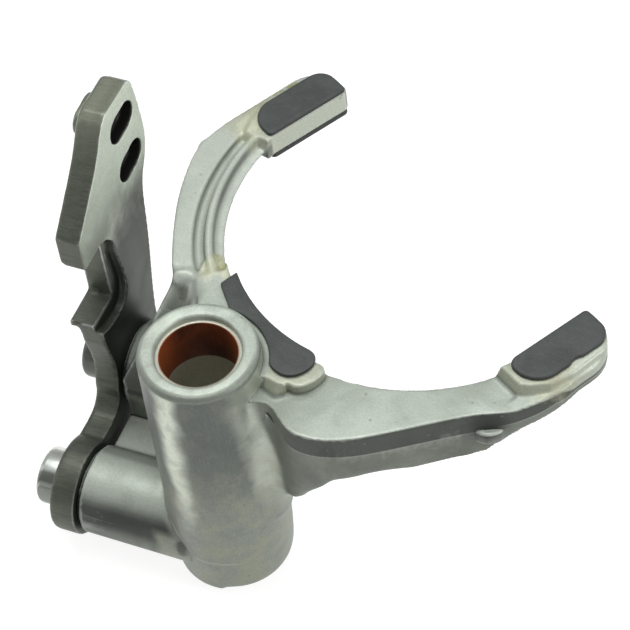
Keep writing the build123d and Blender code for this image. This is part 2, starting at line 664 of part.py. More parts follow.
# Rivets, turned about their own axes
for name, (y, z) in (("lower_rivet", (lower_boss_y, lower_boss_z)),
                     ("upper_rivet", (upper_boss_y, upper_boss_z))):
    with BuildPart() as rivet:
        with BuildSketch(Plane(origin=(plate_back_x, y, z), x_dir=(1, 0, 0), z_dir=(0, -1, 0))):
            with BuildLine():
                Polyline((-rivet_head_height, 0), (-rivet_head_height, rivet_head_dia / 2 - rivet_head_edge),
                         (rivet_head_edge - rivet_head_height, rivet_head_dia / 2), (0, rivet_head_dia / 2),
                         (0, rivet_dia / 2), (plate_thickness + rivet_grip, rivet_dia / 2),
                         (plate_thickness + rivet_grip, 0), (-rivet_head_height, 0))
            make_face()
        revolve(axis=Axis((0, y, z), (1, 0, 0)))
    rivet.part.label = name
    export_step(rivet.part, f"parts/{name}.step")
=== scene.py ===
from math import cos, pi, radians, sin

import bpy
import numpy as np
from mathutils import Matrix, Vector


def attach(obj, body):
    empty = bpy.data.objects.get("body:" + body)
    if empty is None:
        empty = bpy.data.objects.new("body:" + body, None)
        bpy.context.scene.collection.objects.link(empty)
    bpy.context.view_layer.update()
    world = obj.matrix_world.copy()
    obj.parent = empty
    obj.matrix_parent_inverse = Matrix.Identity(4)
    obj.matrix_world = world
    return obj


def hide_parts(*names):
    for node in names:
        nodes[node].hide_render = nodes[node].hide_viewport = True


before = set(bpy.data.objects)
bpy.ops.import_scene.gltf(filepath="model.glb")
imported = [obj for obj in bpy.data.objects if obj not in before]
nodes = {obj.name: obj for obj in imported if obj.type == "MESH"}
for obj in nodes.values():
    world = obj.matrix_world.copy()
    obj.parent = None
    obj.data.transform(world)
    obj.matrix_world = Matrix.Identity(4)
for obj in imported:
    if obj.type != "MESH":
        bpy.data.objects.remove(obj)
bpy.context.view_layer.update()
mm = 0.001
print("frame loaded:", sorted(nodes))

# the fork's own directions: along is from the rail to the fork centre, across points to the left arm
forkTurn = radians(58.8)
along = np.array([cos(forkTurn), sin(forkTurn), 0.0])
across = np.array([-sin(forkTurn), cos(forkTurn), 0.0])
forkReach = 56.9 * mm


# small helpers for meshes

def vertexArray(mesh):  # all vertex positions as rows of x, y, z
    co = np.empty(len(mesh.vertices) * 3)
    mesh.vertices.foreach_get("co", co)
    return co.reshape(-1, 3)


def normalArray(mesh):
    normals = np.empty(len(mesh.vertices) * 3)
    mesh.vertices.foreach_get("normal", normals)
    return normals.reshape(-1, 3)


def setVertices(mesh, co):
    mesh.vertices.foreach_set("co", co.ravel())
    mesh.update()


def addPiece(name, verts, faces, smooth=True):
    mesh = bpy.data.meshes.new(name)
    mesh.from_pydata(verts.tolist(), [], faces.tolist())
    mesh.validate()
    if smooth:
        mesh.shade_smooth()
    piece = bpy.data.objects.new(name, mesh)
    bpy.context.scene.collection.objects.link(piece)
    return piece


# a closed profile (distance from the axis, height) carried once round an axis:
# point = origin + height * axis + distance * (cos t * side + sin t * other side)
def turnedSurface(profile, count, origin, axis, side):
    axis, side = np.array(axis, float), np.array(side, float)
    other = np.cross(axis, side)
    t = np.arange(count) * 2 * pi / count
    rim = np.outer(np.cos(t), side) + np.outer(np.sin(t), other)
    distance, height = profile[None, :, 0, None], profile[None, :, 1, None]
    verts = np.array(origin) + height * axis + distance * rim[:, None, :]
    k = len(profile)
    i, j = np.meshgrid(np.arange(count), np.arange(k), indexing="ij")
    a = i * k + j
    b = i * k + (j + 1) % k
    c = ((i + 1) % count) * k + (j + 1) % k
    d = ((i + 1) % count) * k + j
    return verts.reshape(-1, 3), np.stack([a, d, c, b], axis=-1).reshape(-1, 4)


# a polygon with every corner replaced by an arc: three-point blend p = (1-s)^2 a + 2 s (1-s) corner + s^2 b
def roundedLoop(corners, radii, steps=6):
    corners = np.array(corners, float)
    before, after = np.roll(corners, 1, axis=0) - corners, np.roll(corners, -1, axis=0) - corners
    r = np.array(radii, float)[:, None]
    a = corners + before / np.linalg.norm(before, axis=1, keepdims=True) * r
    b = corners + after / np.linalg.norm(after, axis=1, keepdims=True) * r
    s = np.linspace(0, 1, steps)[None, :, None]
    arcs = (1 - s) ** 2 * a[:, None] + 2 * s * (1 - s) * corners[:, None] + s ** 2 * b[:, None]
    return arcs.reshape(-1, 2)


def bakeModifiers(piece):
    deps = bpy.context.evaluated_depsgraph_get()
    mesh = bpy.data.meshes.new_from_object(piece.evaluated_get(deps))
    piece.modifiers.clear()
    piece.data = mesh
    return piece


def mergedCopy(node, name):  # the CAD mesh is loose triangles, so its doubles are merged in the copy
    piece = bpy.data.objects.new(name, nodes[node].data.copy())
    bpy.context.scene.collection.objects.link(piece)
    weld = piece.modifiers.new("weld", "WELD")
    weld.merge_threshold = 1e-6
    return bakeModifiers(piece)


def voxelSkin(piece, voxel):
    skin = piece.modifiers.new("voxels", "REMESH")
    skin.mode = "VOXEL"
    skin.voxel_size = voxel
    skin.use_smooth_shade = True
    return bakeModifiers(piece)


def edgeArray(mesh):
    ends = np.empty(len(mesh.edges) * 2, dtype=np.int64)
    mesh.edges.foreach_get("vertices", ends)
    return ends.reshape(-1, 2)


# each step moves every vertex half way to the mean of its neighbours, times its weight
def relaxed(co, ends, steps, weight=1.0):
    count = len(co)
    a = np.concatenate([ends[:, 0], ends[:, 1]])
    b = np.concatenate([ends[:, 1], ends[:, 0]])
    degree = np.maximum(np.bincount(a, minlength=count), 1)[:, None]
    weight = 0.5 * np.broadcast_to(np.asarray(weight, float), (count,))[:, None]
    for _ in range(steps):
        mean = np.stack([np.bincount(a, co[b, k], count) for k in range(3)], axis=-1) / degree
        co = co + weight * (mean - co)
    return co


def thinned(piece, triangles):
    faces = len(piece.data.polygons) * (2 if len(piece.data.polygons[0].vertices) == 4 else 1)
    if faces > triangles:
        thin = piece.modifiers.new("thin", "DECIMATE")
        thin.ratio = triangles / faces
        bakeModifiers(piece)
    piece.data.shade_smooth()
    return piece


# how far a vertex stands out of its relaxed surroundings, along its normal, in units of reach:
# kept as two attributes, one for outer edges and one for inner corners
def markEdges(mesh, steps, reach):
    co = vertexArray(mesh)
    ends = edgeArray(mesh)
    bulge = ((co - relaxed(co, ends, steps)) * normalArray(mesh)).sum(axis=1) / reach
    spread = relaxed(np.stack([bulge] * 3, axis=-1), ends, 2)[:, 0]
    for name, values in (("outerEdge", spread), ("innerCorner", -spread)):
        layer = mesh.attributes.new(name, "FLOAT", "POINT")
        layer.data.foreach_set("value", np.clip(values, 0, 1))


def fade(value, start, end):  # 0 before start, 1 after end, an S curve between
    s = np.clip((value - start) / (end - start), 0, 1)
    return s * s * (3 - 2 * s)


def patch(u, v, spot):  # 1 round a place, fading to 0: spot holds its u, its v and the two radii
    return 1 - fade(np.hypot(u - spot[0], v - spot[1]), spot[2], spot[3])


# casting: the CAD solid with the soft corners, wide roots and drafted walls of a die casting

casting = {
    "voxel": 0.3 * mm,
    "softSteps": 5,            # rounds every edge
    "rootSteps": 170,          # wider fillets where the arms leave the barrel
    "rootRing": (12.2 * mm, 17.5 * mm),
    "rootTop": (-7 * mm, -3 * mm),
    "rootEnd": (-40 * mm, -36 * mm),
    "gussetAcross": (12.5 * mm, 15 * mm),
    "gussetAlong": (16 * mm, 24 * mm),
    "gussetTop": (-12 * mm, -8.5 * mm),
    "partingBulge": 0.26 * mm,
    "partingAlong": (10.0 * mm, 34.0 * mm, 50.0 * mm, 59.0 * mm),
    "partingHeight": (-5.8 * mm, -5.6 * mm, -1.4 * mm, 0.0 * mm),
    # how far the front wall's foot lies below the solid's (above it where minus), along the right arm
    "footAcross": (12.5 * mm, 13.9 * mm, 15.2 * mm, 16.6 * mm, 18.5 * mm, 22 * mm, 28 * mm, 34 * mm,
                   42 * mm),
    "footDrop": (-1.0 * mm, -2.4 * mm, -6.0 * mm, -4.2 * mm, -1.6 * mm, 1.1 * mm, 1.9 * mm, 1.2 * mm,
                 0.5 * mm),
    "archPath": ((6.8, 23.3), (8.4, 23.9), (10.1, 23.7), (11.6, 22.4), (12.6, 20.8), (12.8, 18.9)),
    "archRise": 0.55 * mm,
    "archWidth": 0.9 * mm,
    "dimple": (8.8 * mm, 20.3 * mm),
    "dimpleDepth": 1.1 * mm,
    "dimpleWidth": 1.6 * mm,
    # places smoothed round the rib's end: along, across, full radius, end radius
    "ribEnd": (9.6 * mm, 20.0 * mm, 4.6 * mm, 6.6 * mm),
    "ribEndFoot": (-13 * mm, -9 * mm),
    "archPatch": (11 * mm, 20.5 * mm, 9 * mm, 12 * mm),
    "slopePatch": (10.6 * mm, 18.8 * mm, 2.6 * mm, 4.6 * mm),
    # the small lug on the right arm, from the fork centre
    "lugBearing": 68.0,
    "lugReach": 50.0 * mm,
    "footSteps": 70,
    "archSteps": 4,
    "slopeSteps": 40,
    "triangles": 195000,
    "markSteps": 10,
    "markReach": 0.17 * mm,
}
castingBody = voxelSkin(mergedCopy("fork_casting", "castingBody"), casting["voxel"])
mesh = castingBody.data
print("casting voxels:", len(mesh.vertices))
ends = edgeArray(mesh)
co = vertexArray(mesh)
lugTurn = radians(casting["lugBearing"])
lugPlace = forkReach * along - casting["lugReach"] * (cos(lugTurn) * along + sin(lugTurn) * across)
nearLug = 1 - fade(np.hypot(co[:, 0] - lugPlace[0], co[:, 1] - lugPlace[1]), 5.5 * mm, 7 * mm)
co = relaxed(co, ends, casting["softSteps"], 1 - 0.75 * nearLug)
radius = np.hypot(co[:, 0], co[:, 1])
height = co[:, 2]
u, v = co @ along, co @ across
inner, outer = casting["rootRing"]
ring = fade(radius, inner - 1.2 * mm, inner) * (1 - fade(radius, outer, outer + 5 * mm))
roots = ring * (1 - fade(height, *casting["rootTop"])) * fade(v, *casting["rootEnd"])
roots *= (u > -2 * mm) | (v > 10 * mm) | (v < -8 * mm)
gusset = fade(-v, *casting["gussetAcross"]) * (1 - fade(u, *casting["gussetAlong"]))
gusset *= 1 - fade(height, *casting["gussetTop"])
ribEnd = patch(u, v, casting["ribEnd"])
ribEnd *= fade(height, *casting["ribEndFoot"]) * 0.6
weight = np.clip(np.maximum.reduce([roots, gusset, ribEnd]), 0, 1)
co = relaxed(co, ends, casting["rootSteps"], weight)

# the foot of the front wall beside the gusset
u, v = co @ along, co @ across
lower = fade(-co[:, 2], 4 * mm, 9 * mm) * (v < -12 * mm)
lower *= fade(np.hypot(co[:, 0], co[:, 1]), 14.2 * mm, 16 * mm)
co[:, 2] -= np.interp(-v, casting["footAcross"], casting["footDrop"]) * lower
foot = lower * (1 - fade(-v, 22 * mm, 27 * mm)) * fade(-v, 13 * mm, 14.5 * mm)
foot *= fade(-co[:, 2], 7 * mm, 10 * mm)
co = relaxed(co, ends, casting["footSteps"], foot)
setVertices(mesh, co)

# root of the left arm: both grooves run on to the hub, and the ridge between them widens into a triangle
carve = {
    "ring": (41.9 * mm, 42.3 * mm, 48.4 * mm, 48.9 * mm),    # from the fork centre: start, full, full, end
    "bearing": (23.0, 23.4, 25.0, 30.5, 31.9, 32.0),         # degrees, from the hub to the arm
    "sectionBearing": 30.0,                                  # where the arm's own section is read
    "floor": 0.4 * mm,
    "ridgeHeight": 1.45 * mm,
    "spread": (-31.8, -24.2),                                # minus the bearings where it widens
    "ridge": ((44.6, -0.5), (45.4, 2.7)),                    # each side in mm, and how far it moves
}
u, v = co @ along, co @ across
rho = np.hypot(u - forkReach, v)
bearing = np.degrees(np.arctan2(v, forkReach - u))
height = co[:, 2]
ringIn, ringInFull, ringOutFull, ringOut = carve["ring"]
hubEnd, hubFade, hubFull, armFull, armFade, armEnd = carve["bearing"]
face = (height > 0.2 * mm) & (rho > ringIn) & (rho < ringOut) & (bearing > hubEnd) & (bearing < armEnd)
cut = face & (np.abs(bearing - carve["sectionBearing"]) < 1.0) & (normalArray(mesh)[:, 2] > 0.2)
order = np.argsort(rho[cut])
section = np.interp(rho, rho[cut][order], height[cut][order])
spread = fade(-bearing, *carve["spread"])
(innerSide, innerShift), (outerSide, outerShift) = carve["ridge"]
ridgeIn, ridgeOut = (innerSide + innerShift * spread) * mm, (outerSide + outerShift * spread) * mm
triangle = fade(rho, ridgeIn - 0.5 * mm, ridgeIn + 0.2 * mm)
triangle *= 1 - fade(rho, ridgeOut - 0.2 * mm, ridgeOut + 0.6 * mm)
carved = np.maximum(section, carve["floor"] + carve["ridgeHeight"] * triangle)
rise = 1 - fade(bearing, hubFade, hubFull)
carved = carved + (height - carved) * rise
blend = fade(rho, ringIn, ringInFull) * (1 - fade(rho, ringOutFull, ringOut))
blend *= 1 - fade(bearing, armFull, armFade)
co[:, 2] = np.where(face, height + (carved - height) * blend, height)

# the rib behind ends in a small arch with a dimple below it
path = np.array(casting["archPath"]) * mm
away = np.full(len(co), 1.0)
for a, b in zip(path[:-1], path[1:]):
    run = b - a
    s = np.clip(((u - a[0]) * run[0] + (v - a[1]) * run[1]) / (run @ run), 0, 1)
    away = np.minimum(away, np.hypot(u - a[0] - s * run[0], v - a[1] - s * run[1]))
over = (co[:, 2] > -6 * mm) & (normalArray(mesh)[:, 2] > 0.15)
co[:, 2] += casting["archRise"] * np.exp(-(away / casting["archWidth"]) ** 2) * over
pit = np.hypot(u - casting["dimple"][0], v - casting["dimple"][1])
co[:, 2] -= casting["dimpleDepth"] * np.exp(-(pit / casting["dimpleWidth"]) ** 2) * over
near = patch(u, v, casting["archPatch"]) * (co[:, 2] > -9 * mm)
co = relaxed(co, ends, casting["archSteps"], near)
slope = patch(u, v, casting["slopePatch"]) * (co[:, 2] > -9 * mm)
co = relaxed(co, ends, casting["slopeSteps"], slope)
setVertices(mesh, co)

# outer walls of the arms stand out most along the parting line, so that both halves show their draft
normals = normalArray(mesh)
fromCentre = co - forkReach * along
rho = np.hypot(fromCentre[:, 0], fromCentre[:, 1])
outward = (normals * np.array([1, 1, 0]) * fromCentre).sum(axis=1) / np.maximum(rho, 1e-6)
parting = np.interp(u, casting["partingAlong"], casting["partingHeight"])
span = np.where(co[:, 2] > parting, np.maximum(-parting, 2 * mm), 7.2 * mm)
wall = fade(outward, 0.3, 0.7) * fade(rho, 47 * mm, 48.5 * mm) * fade(radius, 20 * mm, 24 * mm)
wall *= (np.abs(normals[:, 2]) < 0.6) * (1 - fade(u, 52 * mm, 58 * mm))
bulge = casting["partingBulge"] * np.clip(1 - np.abs(co[:, 2] - parting) / span, 0, 1) * wall
level = normals * np.array([1, 1, 0])
co = co + bulge[:, None] * level / np.maximum(np.linalg.norm(level, axis=1, keepdims=True), 1e-6)
setVertices(mesh, co)
thinned(castingBody, casting["triangles"])
markEdges(castingBody.data, casting["markSteps"], casting["markReach"])
print("casting triangles:", len(castingBody.data.polygons))
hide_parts("fork_casting")
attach(castingBody, "root")

# selector plate: blanked from the +X side, so its back edges are rolled over and its front ones sharp

plate = {
    "voxel": 0.3 * mm,
    "softSteps": 4,
    "rolledSteps": 26,
    "rolledDepth": 1.3 * mm,
    "backX": -38.1 * mm,
    "triangles": 90000,
}
plateBody = voxelSkin(mergedCopy("selector_plate", "plateBody"), plate["voxel"])
mesh = plateBody.data
ends = edgeArray(mesh)
co = relaxed(vertexArray(mesh), ends, plate["softSteps"])
rolled = 1 - fade(np.abs(co[:, 0] - plate["backX"]), 0.6 * mm, plate["rolledDepth"])
co = relaxed(co, ends, plate["rolledSteps"], rolled)
setVertices(mesh, co)
thinned(plateBody, plate["triangles"])
markEdges(plateBody.data, 8, 0.12 * mm)
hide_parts("selector_plate")
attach(plateBody, "root")
print("plate triangles:", len(plateBody.data.polygons))

# moulded pads, with a small radius all round

pads = {
    "voxel": 0.2 * mm,
    "softSteps": 5,
    "triangles": 40000,
    "pieces": {"tip_pad_left": "tipPadLeft", "tip_pad_right": "tipPadRight", "saddle_pad": "saddlePad"},
    "backGrowth": 0.5 * mm,    # the back faces of the tip pads stand out a little further
    "saddleSweep": 2.1,        # degrees by which the saddle pad runs on towards the left arm
}
padBodies = []
for node, name in pads["pieces"].items():
    pad = voxelSkin(mergedCopy(node, name), pads["voxel"])
    co = relaxed(vertexArray(pad.data), edgeArray(pad.data), pads["softSteps"])
    if node == "saddle_pad":
        u, v = co @ along, co @ across
        rho, bearing = np.hypot(u - forkReach, v), np.arctan2(v, forkReach - u)
        bearing += radians(pads["saddleSweep"]) * fade(np.degrees(bearing), 12.0, 17.5)
        u, v = forkReach - rho * np.cos(bearing), rho * np.sin(bearing)
        co = u[:, None] * along + v[:, None] * across + co * np.array([0, 0, 1])
    else:
        co[:, 2] -= pads["backGrowth"] * fade(-co[:, 2], 3.0 * mm, 3.3 * mm)
    setVertices(pad.data, co)
    thinned(pad, pads["triangles"])
    markEdges(pad.data, 8, 0.1 * mm)
    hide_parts(node)
    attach(pad, "root")
    padBodies.append(pad)
print("pads:", [len(pad.data.polygons) for pad in padBodies])

# bushes: thin rings with rounded mouths

bushes = {
    "inner": 8.0 * mm,
    "outer": 9.0 * mm,
    "length": {"upper_bush": 11.0 * mm, "lower_bush": 10.5 * mm},
    "foot": {"upper_bush": -5.25 * mm, "lower_bush": -61.25 * mm},
    "names": {"upper_bush": "upperBush", "lower_bush": "lowerBush"},
    "mouth": 0.4 * mm,
    "rim": 0.12 * mm,
    "segments": 256,
}
bushBodies = []
for node, foot in bushes["foot"].items():
    top = bushes["length"][node]
    corners = [(bushes["inner"], 0), (bushes["outer"], 0), (bushes["outer"], top), (bushes["inner"], top)]
    radii = [bushes["mouth"], bushes["rim"], bushes["rim"], bushes["mouth"]]
    loop = roundedLoop(corners, radii)
    verts, faces = turnedSurface(loop, bushes["segments"], (0, 0, foot), (0, 0, 1), (1, 0, 0))
    bush = addPiece(bushes["names"][node], verts, faces)
    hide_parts(node)
    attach(bush, "root")
    bushBodies.append(bush)

# rivets: round-edged heads, a shank through the plate into the boss

rivets = {
    "headRadius": 6.5 * mm,
    "headHeight": 5.7 * mm,
    "headEdge": 1.3 * mm,
    "dish": 0.12 * mm,         # the pressed middle of the head
    "shankRadius": 4.0 * mm,
    "shankLength": 20.0 * mm,
    "seatX": -38.1 * mm,
    "places": {"upper_rivet": (25.1 * mm, -40.8 * mm), "lower_rivet": (-2.9 * mm, -52.3 * mm)},
    "names": {"upper_rivet": "upperRivet", "lower_rivet": "lowerRivet"},
    "segments": 192,
}
rivetBodies = []
for node, (y, z) in rivets["places"].items():
    head, shank = rivets["headRadius"], rivets["shankRadius"]
    rise = rivets["headHeight"]
    corners = [(0.02 * mm, -rise + rivets["dish"]), (head * 0.62, -rise + rivets["dish"] * 0.8),
               (head * 0.74, -rise),
               (head, -rise), (head, 0), (shank, 0), (shank, rivets["shankLength"]),
               (0.02 * mm, rivets["shankLength"])]
    radii = [0.005 * mm, 0.5 * mm, 0.3 * mm, rivets["headEdge"], 0.25 * mm, 0.05 * mm, 0.4 * mm, 0.005 * mm]
    loop = roundedLoop(corners, radii)
    verts, faces = turnedSurface(loop, rivets["segments"], (rivets["seatX"], y, z), (1, 0, 0), (0, 1, 0))
    rivet = addPiece(rivets["names"][node], verts, faces)
    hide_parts(node)
    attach(rivet, "root")
    rivetBodies.append(rivet)
print("bushes and rivets made")


# small helpers for shader nodes

def put(tree, kind, inputs=None, **settings):
    node = tree.nodes.new("ShaderNode" + kind)
    for key, value in settings.items():
        setattr(node, key, value)
    for key, value in (inputs or {}).items():
        if isinstance(value, bpy.types.NodeSocket):
            tree.links.new(value, node.inputs[key])
        else:
            node.inputs[key].default_value = value
    return node


def calc(tree, operation, a, b=0.0):
    return put(tree, "Math", {0: a, 1: b}, operation=operation).outputs[0]


def plus(tree, a, b):
    return calc(tree, "ADD", a, b)


def minus(tree, a, b):
    return calc(tree, "SUBTRACT", a, b)


def absolute(tree, value):
    return calc(tree, "ABSOLUTE", value)


def vectorCalc(tree, operation, a, b):
    return put(tree, "VectorMath", {0: a, 1: b}, operation=operation).outputs[0]


def lengthOf(tree, vector):
    return put(tree, "VectorMath", {0: vector}, operation="LENGTH").outputs["Value"]


def between(tree, value, start, end):  # 0 at start, 1 at end, smooth between
    node = put(tree, "MapRange", {"Value": value, "From Min": start, "From Max": end},
               interpolation_type="SMOOTHSTEP")
    return node.outputs["Result"]


def remap(tree, value, toLow, toHigh, fromLow=0.0, fromHigh=1.0):
    inputs = {"Value": value, "From Min": fromLow, "From Max": fromHigh, "To Min": toLow, "To Max": toHigh}
    return put(tree, "MapRange", inputs).outputs["Result"]


def mixColour(tree, factor, a, b, mode="MIX"):
    return put(tree, "Mix", {0: factor, 6: a, 7: b}, data_type="RGBA", blend_type=mode).outputs[2]


def speckled(tree, colour, noise, low, high):  # a colour made darker and lighter by a fine noise
    share = remap(tree, noise, low, high, 0.25, 0.75)
    grey = put(tree, "CombineColor", {0: share, 1: share, 2: share}).outputs[0]
    return mixColour(tree, 1.0, colour, grey, mode="MULTIPLY")


def mixValue(tree, factor, a, b):
    return put(tree, "Mix", {0: factor, 2: a, 3: b}).outputs[0]


def times(tree, *values):
    result = values[0]
    for value in values[1:]:
        result = calc(tree, "MULTIPLY", result, value)
    return result


def directed(tree, vector, direction):  # distance of a point along a direction
    node = put(tree, "VectorMath", {0: vector, 1: tuple(direction)}, operation="DOT_PRODUCT")
    return node.outputs["Value"]


def noiseValue(tree, vector, scale, detail, roughness=0.5):
    inputs = {"Vector": vector, "Scale": scale, "Detail": detail, "Roughness": roughness}
    return put(tree, "TexNoise", inputs).outputs["Fac"]


def newGroup(name, inputs, outputs):
    group = bpy.data.node_groups.new(name, "ShaderNodeTree")
    for label, kind, value in inputs:
        socket = group.interface.new_socket(name=label, in_out="INPUT", socket_type="NodeSocket" + kind)
        if value is not None:
            socket.default_value = value
    for label, kind in outputs:
        group.interface.new_socket(name=label, in_out="OUTPUT", socket_type="NodeSocket" + kind)
    source = group.nodes.new("NodeGroupInput")
    target = group.nodes.new("NodeGroupOutput")
    return group, source.outputs, target


def useGroup(tree, group, inputs):
    node = tree.nodes.new("ShaderNodeGroup")
    node.node_tree = group
    for key, value in inputs.items():
        if isinstance(value, bpy.types.NodeSocket):
            tree.links.new(value, node.inputs[key])
        else:
            node.inputs[key].default_value = value
    return node.outputs


def newMaterial(name):
    material = bpy.data.materials.new(name)
    material.use_nodes = True
    tree = material.node_tree
    shader = tree.nodes["Principled BSDF"]
    coords = tree.nodes.new("ShaderNodeTexCoord")
    return material, tree, shader, coords.outputs["Object"]


def dress(piece, material):
    piece.data.materials.clear()
    piece.data.materials.append(material)


def readMark(tree, name):
    return put(tree, "Attribute", attribute_name=name, attribute_type="GEOMETRY").outputs["Fac"]


def bumpNormal(tree, height, distance, strength=1.0, under=None):
    inputs = {"Height": height, "Distance": distance, "Strength": strength}
    if under is not None:
        inputs["Normal"] = under
    return put(tree, "Bump", inputs).outputs["Normal"]


# shared effects

# grain: fine pits and soft lumps of a metal or moulded skin, with a slow drift of tone over it
grainGroup, given, result = newGroup(
    "skinGrain",
    [("Vector", "Vector", None), ("Fine Scale", "Float", 2400.0), ("Lump Scale", "Float", 420.0),
     ("Drift Scale", "Float", 85.0)],
    [("Height", "Float"), ("Speckle", "Float"), ("Drift", "Float"), ("Pits", "Float")])
tree = grainGroup
fine = noiseValue(tree, given["Vector"], given["Fine Scale"], 3.0, 0.6)
lump = noiseValue(tree, given["Vector"], given["Lump Scale"], 2.0, 0.5)
slow = put(tree, "TexNoise", {"Vector": given["Vector"], "Scale": given["Drift Scale"], "Detail": 3.0,
                              "Roughness": 0.55, "Distortion": 0.5}).outputs["Fac"]
pitScale = times(tree, given["Fine Scale"], 0.2)
pitCells = put(tree, "TexVoronoi",
               {"Vector": given["Vector"], "Scale": pitScale, "Randomness": 1.0}).outputs
pitChance = put(tree, "TexNoise",
                {"Vector": given["Vector"], "Scale": times(tree, given["Lump Scale"], 0.4)})
pits = times(tree, between(tree, pitCells["Distance"], 0.22, 0.08),
             between(tree, pitChance.outputs["Fac"], 0.56, 0.66))
tree.links.new(plus(tree, times(tree, fine, 0.45), times(tree, lump, 0.55)), result.inputs["Height"])
tree.links.new(fine, result.inputs["Speckle"])
tree.links.new(between(tree, slow, 0.36, 0.64), result.inputs["Drift"])
tree.links.new(pits, result.inputs["Pits"])


def skinGrain(tree, place, fine, lump, drift):
    inputs = {"Vector": place, "Fine Scale": fine, "Lump Scale": lump, "Drift Scale": drift}
    return useGroup(tree, grainGroup, inputs)


# wear and painted light: a mesh mark broken up by noise
wearAndLightGroup, given, result = newGroup(
    "raggedMark",
    [("Vector", "Vector", None), ("Mark", "Float", 0.0), ("Scale", "Float", 900.0),
     ("Start", "Float", 0.25), ("End", "Float", 0.7), ("Raggedness", "Float", 0.3)],
    [("Mask", "Float")])
tree = wearAndLightGroup
noise = noiseValue(tree, given["Vector"], given["Scale"], 3.0)
ragged = times(tree, minus(tree, noise, 0.5), times(tree, given["Raggedness"], 2.0))
tree.links.new(between(tree, plus(tree, given["Mark"], ragged), given["Start"], given["End"]),
               result.inputs["Mask"])


def wearAndLightMask(tree, place, mark, start, end, raggedness, scale=900.0):
    inputs = {"Vector": place, "Mark": readMark(tree, mark), "Scale": scale, "Start": start, "End": end,
              "Raggedness": raggedness}
    return useGroup(tree, wearAndLightGroup, inputs)["Mask"]


# stains and painted shade: a soft ragged spot round a place on the object
stainAndShadeGroup, given, result = newGroup(
    "stainSpot",
    [("Vector", "Vector", None), ("Centre", "Vector", None), ("Stretch", "Vector", (1, 1, 1)),
     ("Radius", "Float", 4 * mm), ("Raggedness", "Float", 0.8), ("Scale", "Float", 500.0)],
    [("Mask", "Float")])
tree = stainAndShadeGroup
offset = vectorCalc(tree, "SUBTRACT", given["Vector"], given["Centre"])
offset = vectorCalc(tree, "MULTIPLY", offset, given["Stretch"])
reach = lengthOf(tree, offset)
noise = noiseValue(tree, given["Vector"], given["Scale"], 3.0)
ragged = times(tree, minus(tree, noise, 0.5), given["Raggedness"])
tree.links.new(between(tree, plus(tree, calc(tree, "DIVIDE", reach, given["Radius"]), ragged), 1.0, 0.35),
               result.inputs["Mask"])

# streaks: long fine lines, from noise on coordinates squeezed across the line's direction
streakGroup, given, result = newGroup(
    "fineStreaks",
    [("Vector", "Vector", None), ("Squeeze", "Vector", (1, 1, 1)), ("Width", "Float", 0.06)],
    [("Lines", "Float"), ("Height", "Float")])
tree = streakGroup
squeezed = vectorCalc(tree, "MULTIPLY", given["Vector"], given["Squeeze"])
noise = noiseValue(tree, squeezed, 1.0, 4.0, 0.65)
away = absolute(tree, minus(tree, noise, 0.5))
tree.links.new(between(tree, away, given["Width"], 0.0), result.inputs["Lines"])
tree.links.new(noise, result.inputs["Height"])


def streaks(tree, place, squeeze, width):
    return useGroup(tree, streakGroup, {"Vector": place, "Squeeze": squeeze, "Width": width})


# turning marks: rings whose height is the sine of distance over pitch, a little uneven
ringGroup, given, result = newGroup(
    "turningMarks",
    [("Vector", "Vector", None), ("Distance", "Float", 0.0), ("Pitch", "Float", 0.2 * mm)],
    [("Height", "Float")])
tree = ringGroup
noise = noiseValue(tree, given["Vector"], 700.0, 2.0)
phase = plus(tree, times(tree, calc(tree, "DIVIDE", given["Distance"], given["Pitch"]), 2 * pi),
             times(tree, noise, 2.5))
wave = plus(tree, times(tree, calc(tree, "SINE", phase), 0.35), times(tree, noise, 0.6))
tree.links.new(wave, result.inputs["Height"])
print("shader groups made")

# cast aluminium, with its machined ring, bore and tip faces

castLook = {
    "top": (0.495, 0.548, 0.48, 1),
    "topDark": (0.355, 0.395, 0.345, 1),
    # the wall colours are darker copies of the top colours: painted shade
    "wall": (0.235, 0.262, 0.222, 1),
    "wallDark": (0.165, 0.184, 0.156, 1),
    # painted shade on the arms' upper band and the bosses' lower sides, and the barrel's painted
    # reflections
    "upperBandShade": (0.055, 0.063, 0.054, 1),
    "lowSideShade": (0.032, 0.037, 0.035, 1),
    "barrelDarkReflection": (0.115, 0.132, 0.12, 1),
    "barrelLightReflection": (0.80, 0.87, 0.74, 1),
    "warm": (0.36, 0.37, 0.27, 1),
    # painted shade for corners; a painted highlight colour for edges
    "cornerShadeColour": (0.10, 0.105, 0.08, 1),
    "edge": (0.72, 0.77, 0.70, 1),
    "ring": (0.54, 0.60, 0.52, 1),
    "bore": (0.54, 0.53, 0.40, 1),
    "tipFlat": (0.58, 0.63, 0.53, 1),
    "platform": (0.46, 0.49, 0.38, 1),
    "cream": (0.66, 0.68, 0.50, 1),
    "stain": (0.30, 0.28, 0.06, 1),
    "tarnish": (0.42, 0.41, 0.28, 1),
    # painted shade in the dimple and in recesses
    "dimpleShade": (0.12, 0.125, 0.10, 1),
    "pocket": (0.025, 0.028, 0.024, 1),
    "metallic": 0.35,
    "roughness": 0.5,
    "grainDepth": 0.05 * mm,
}
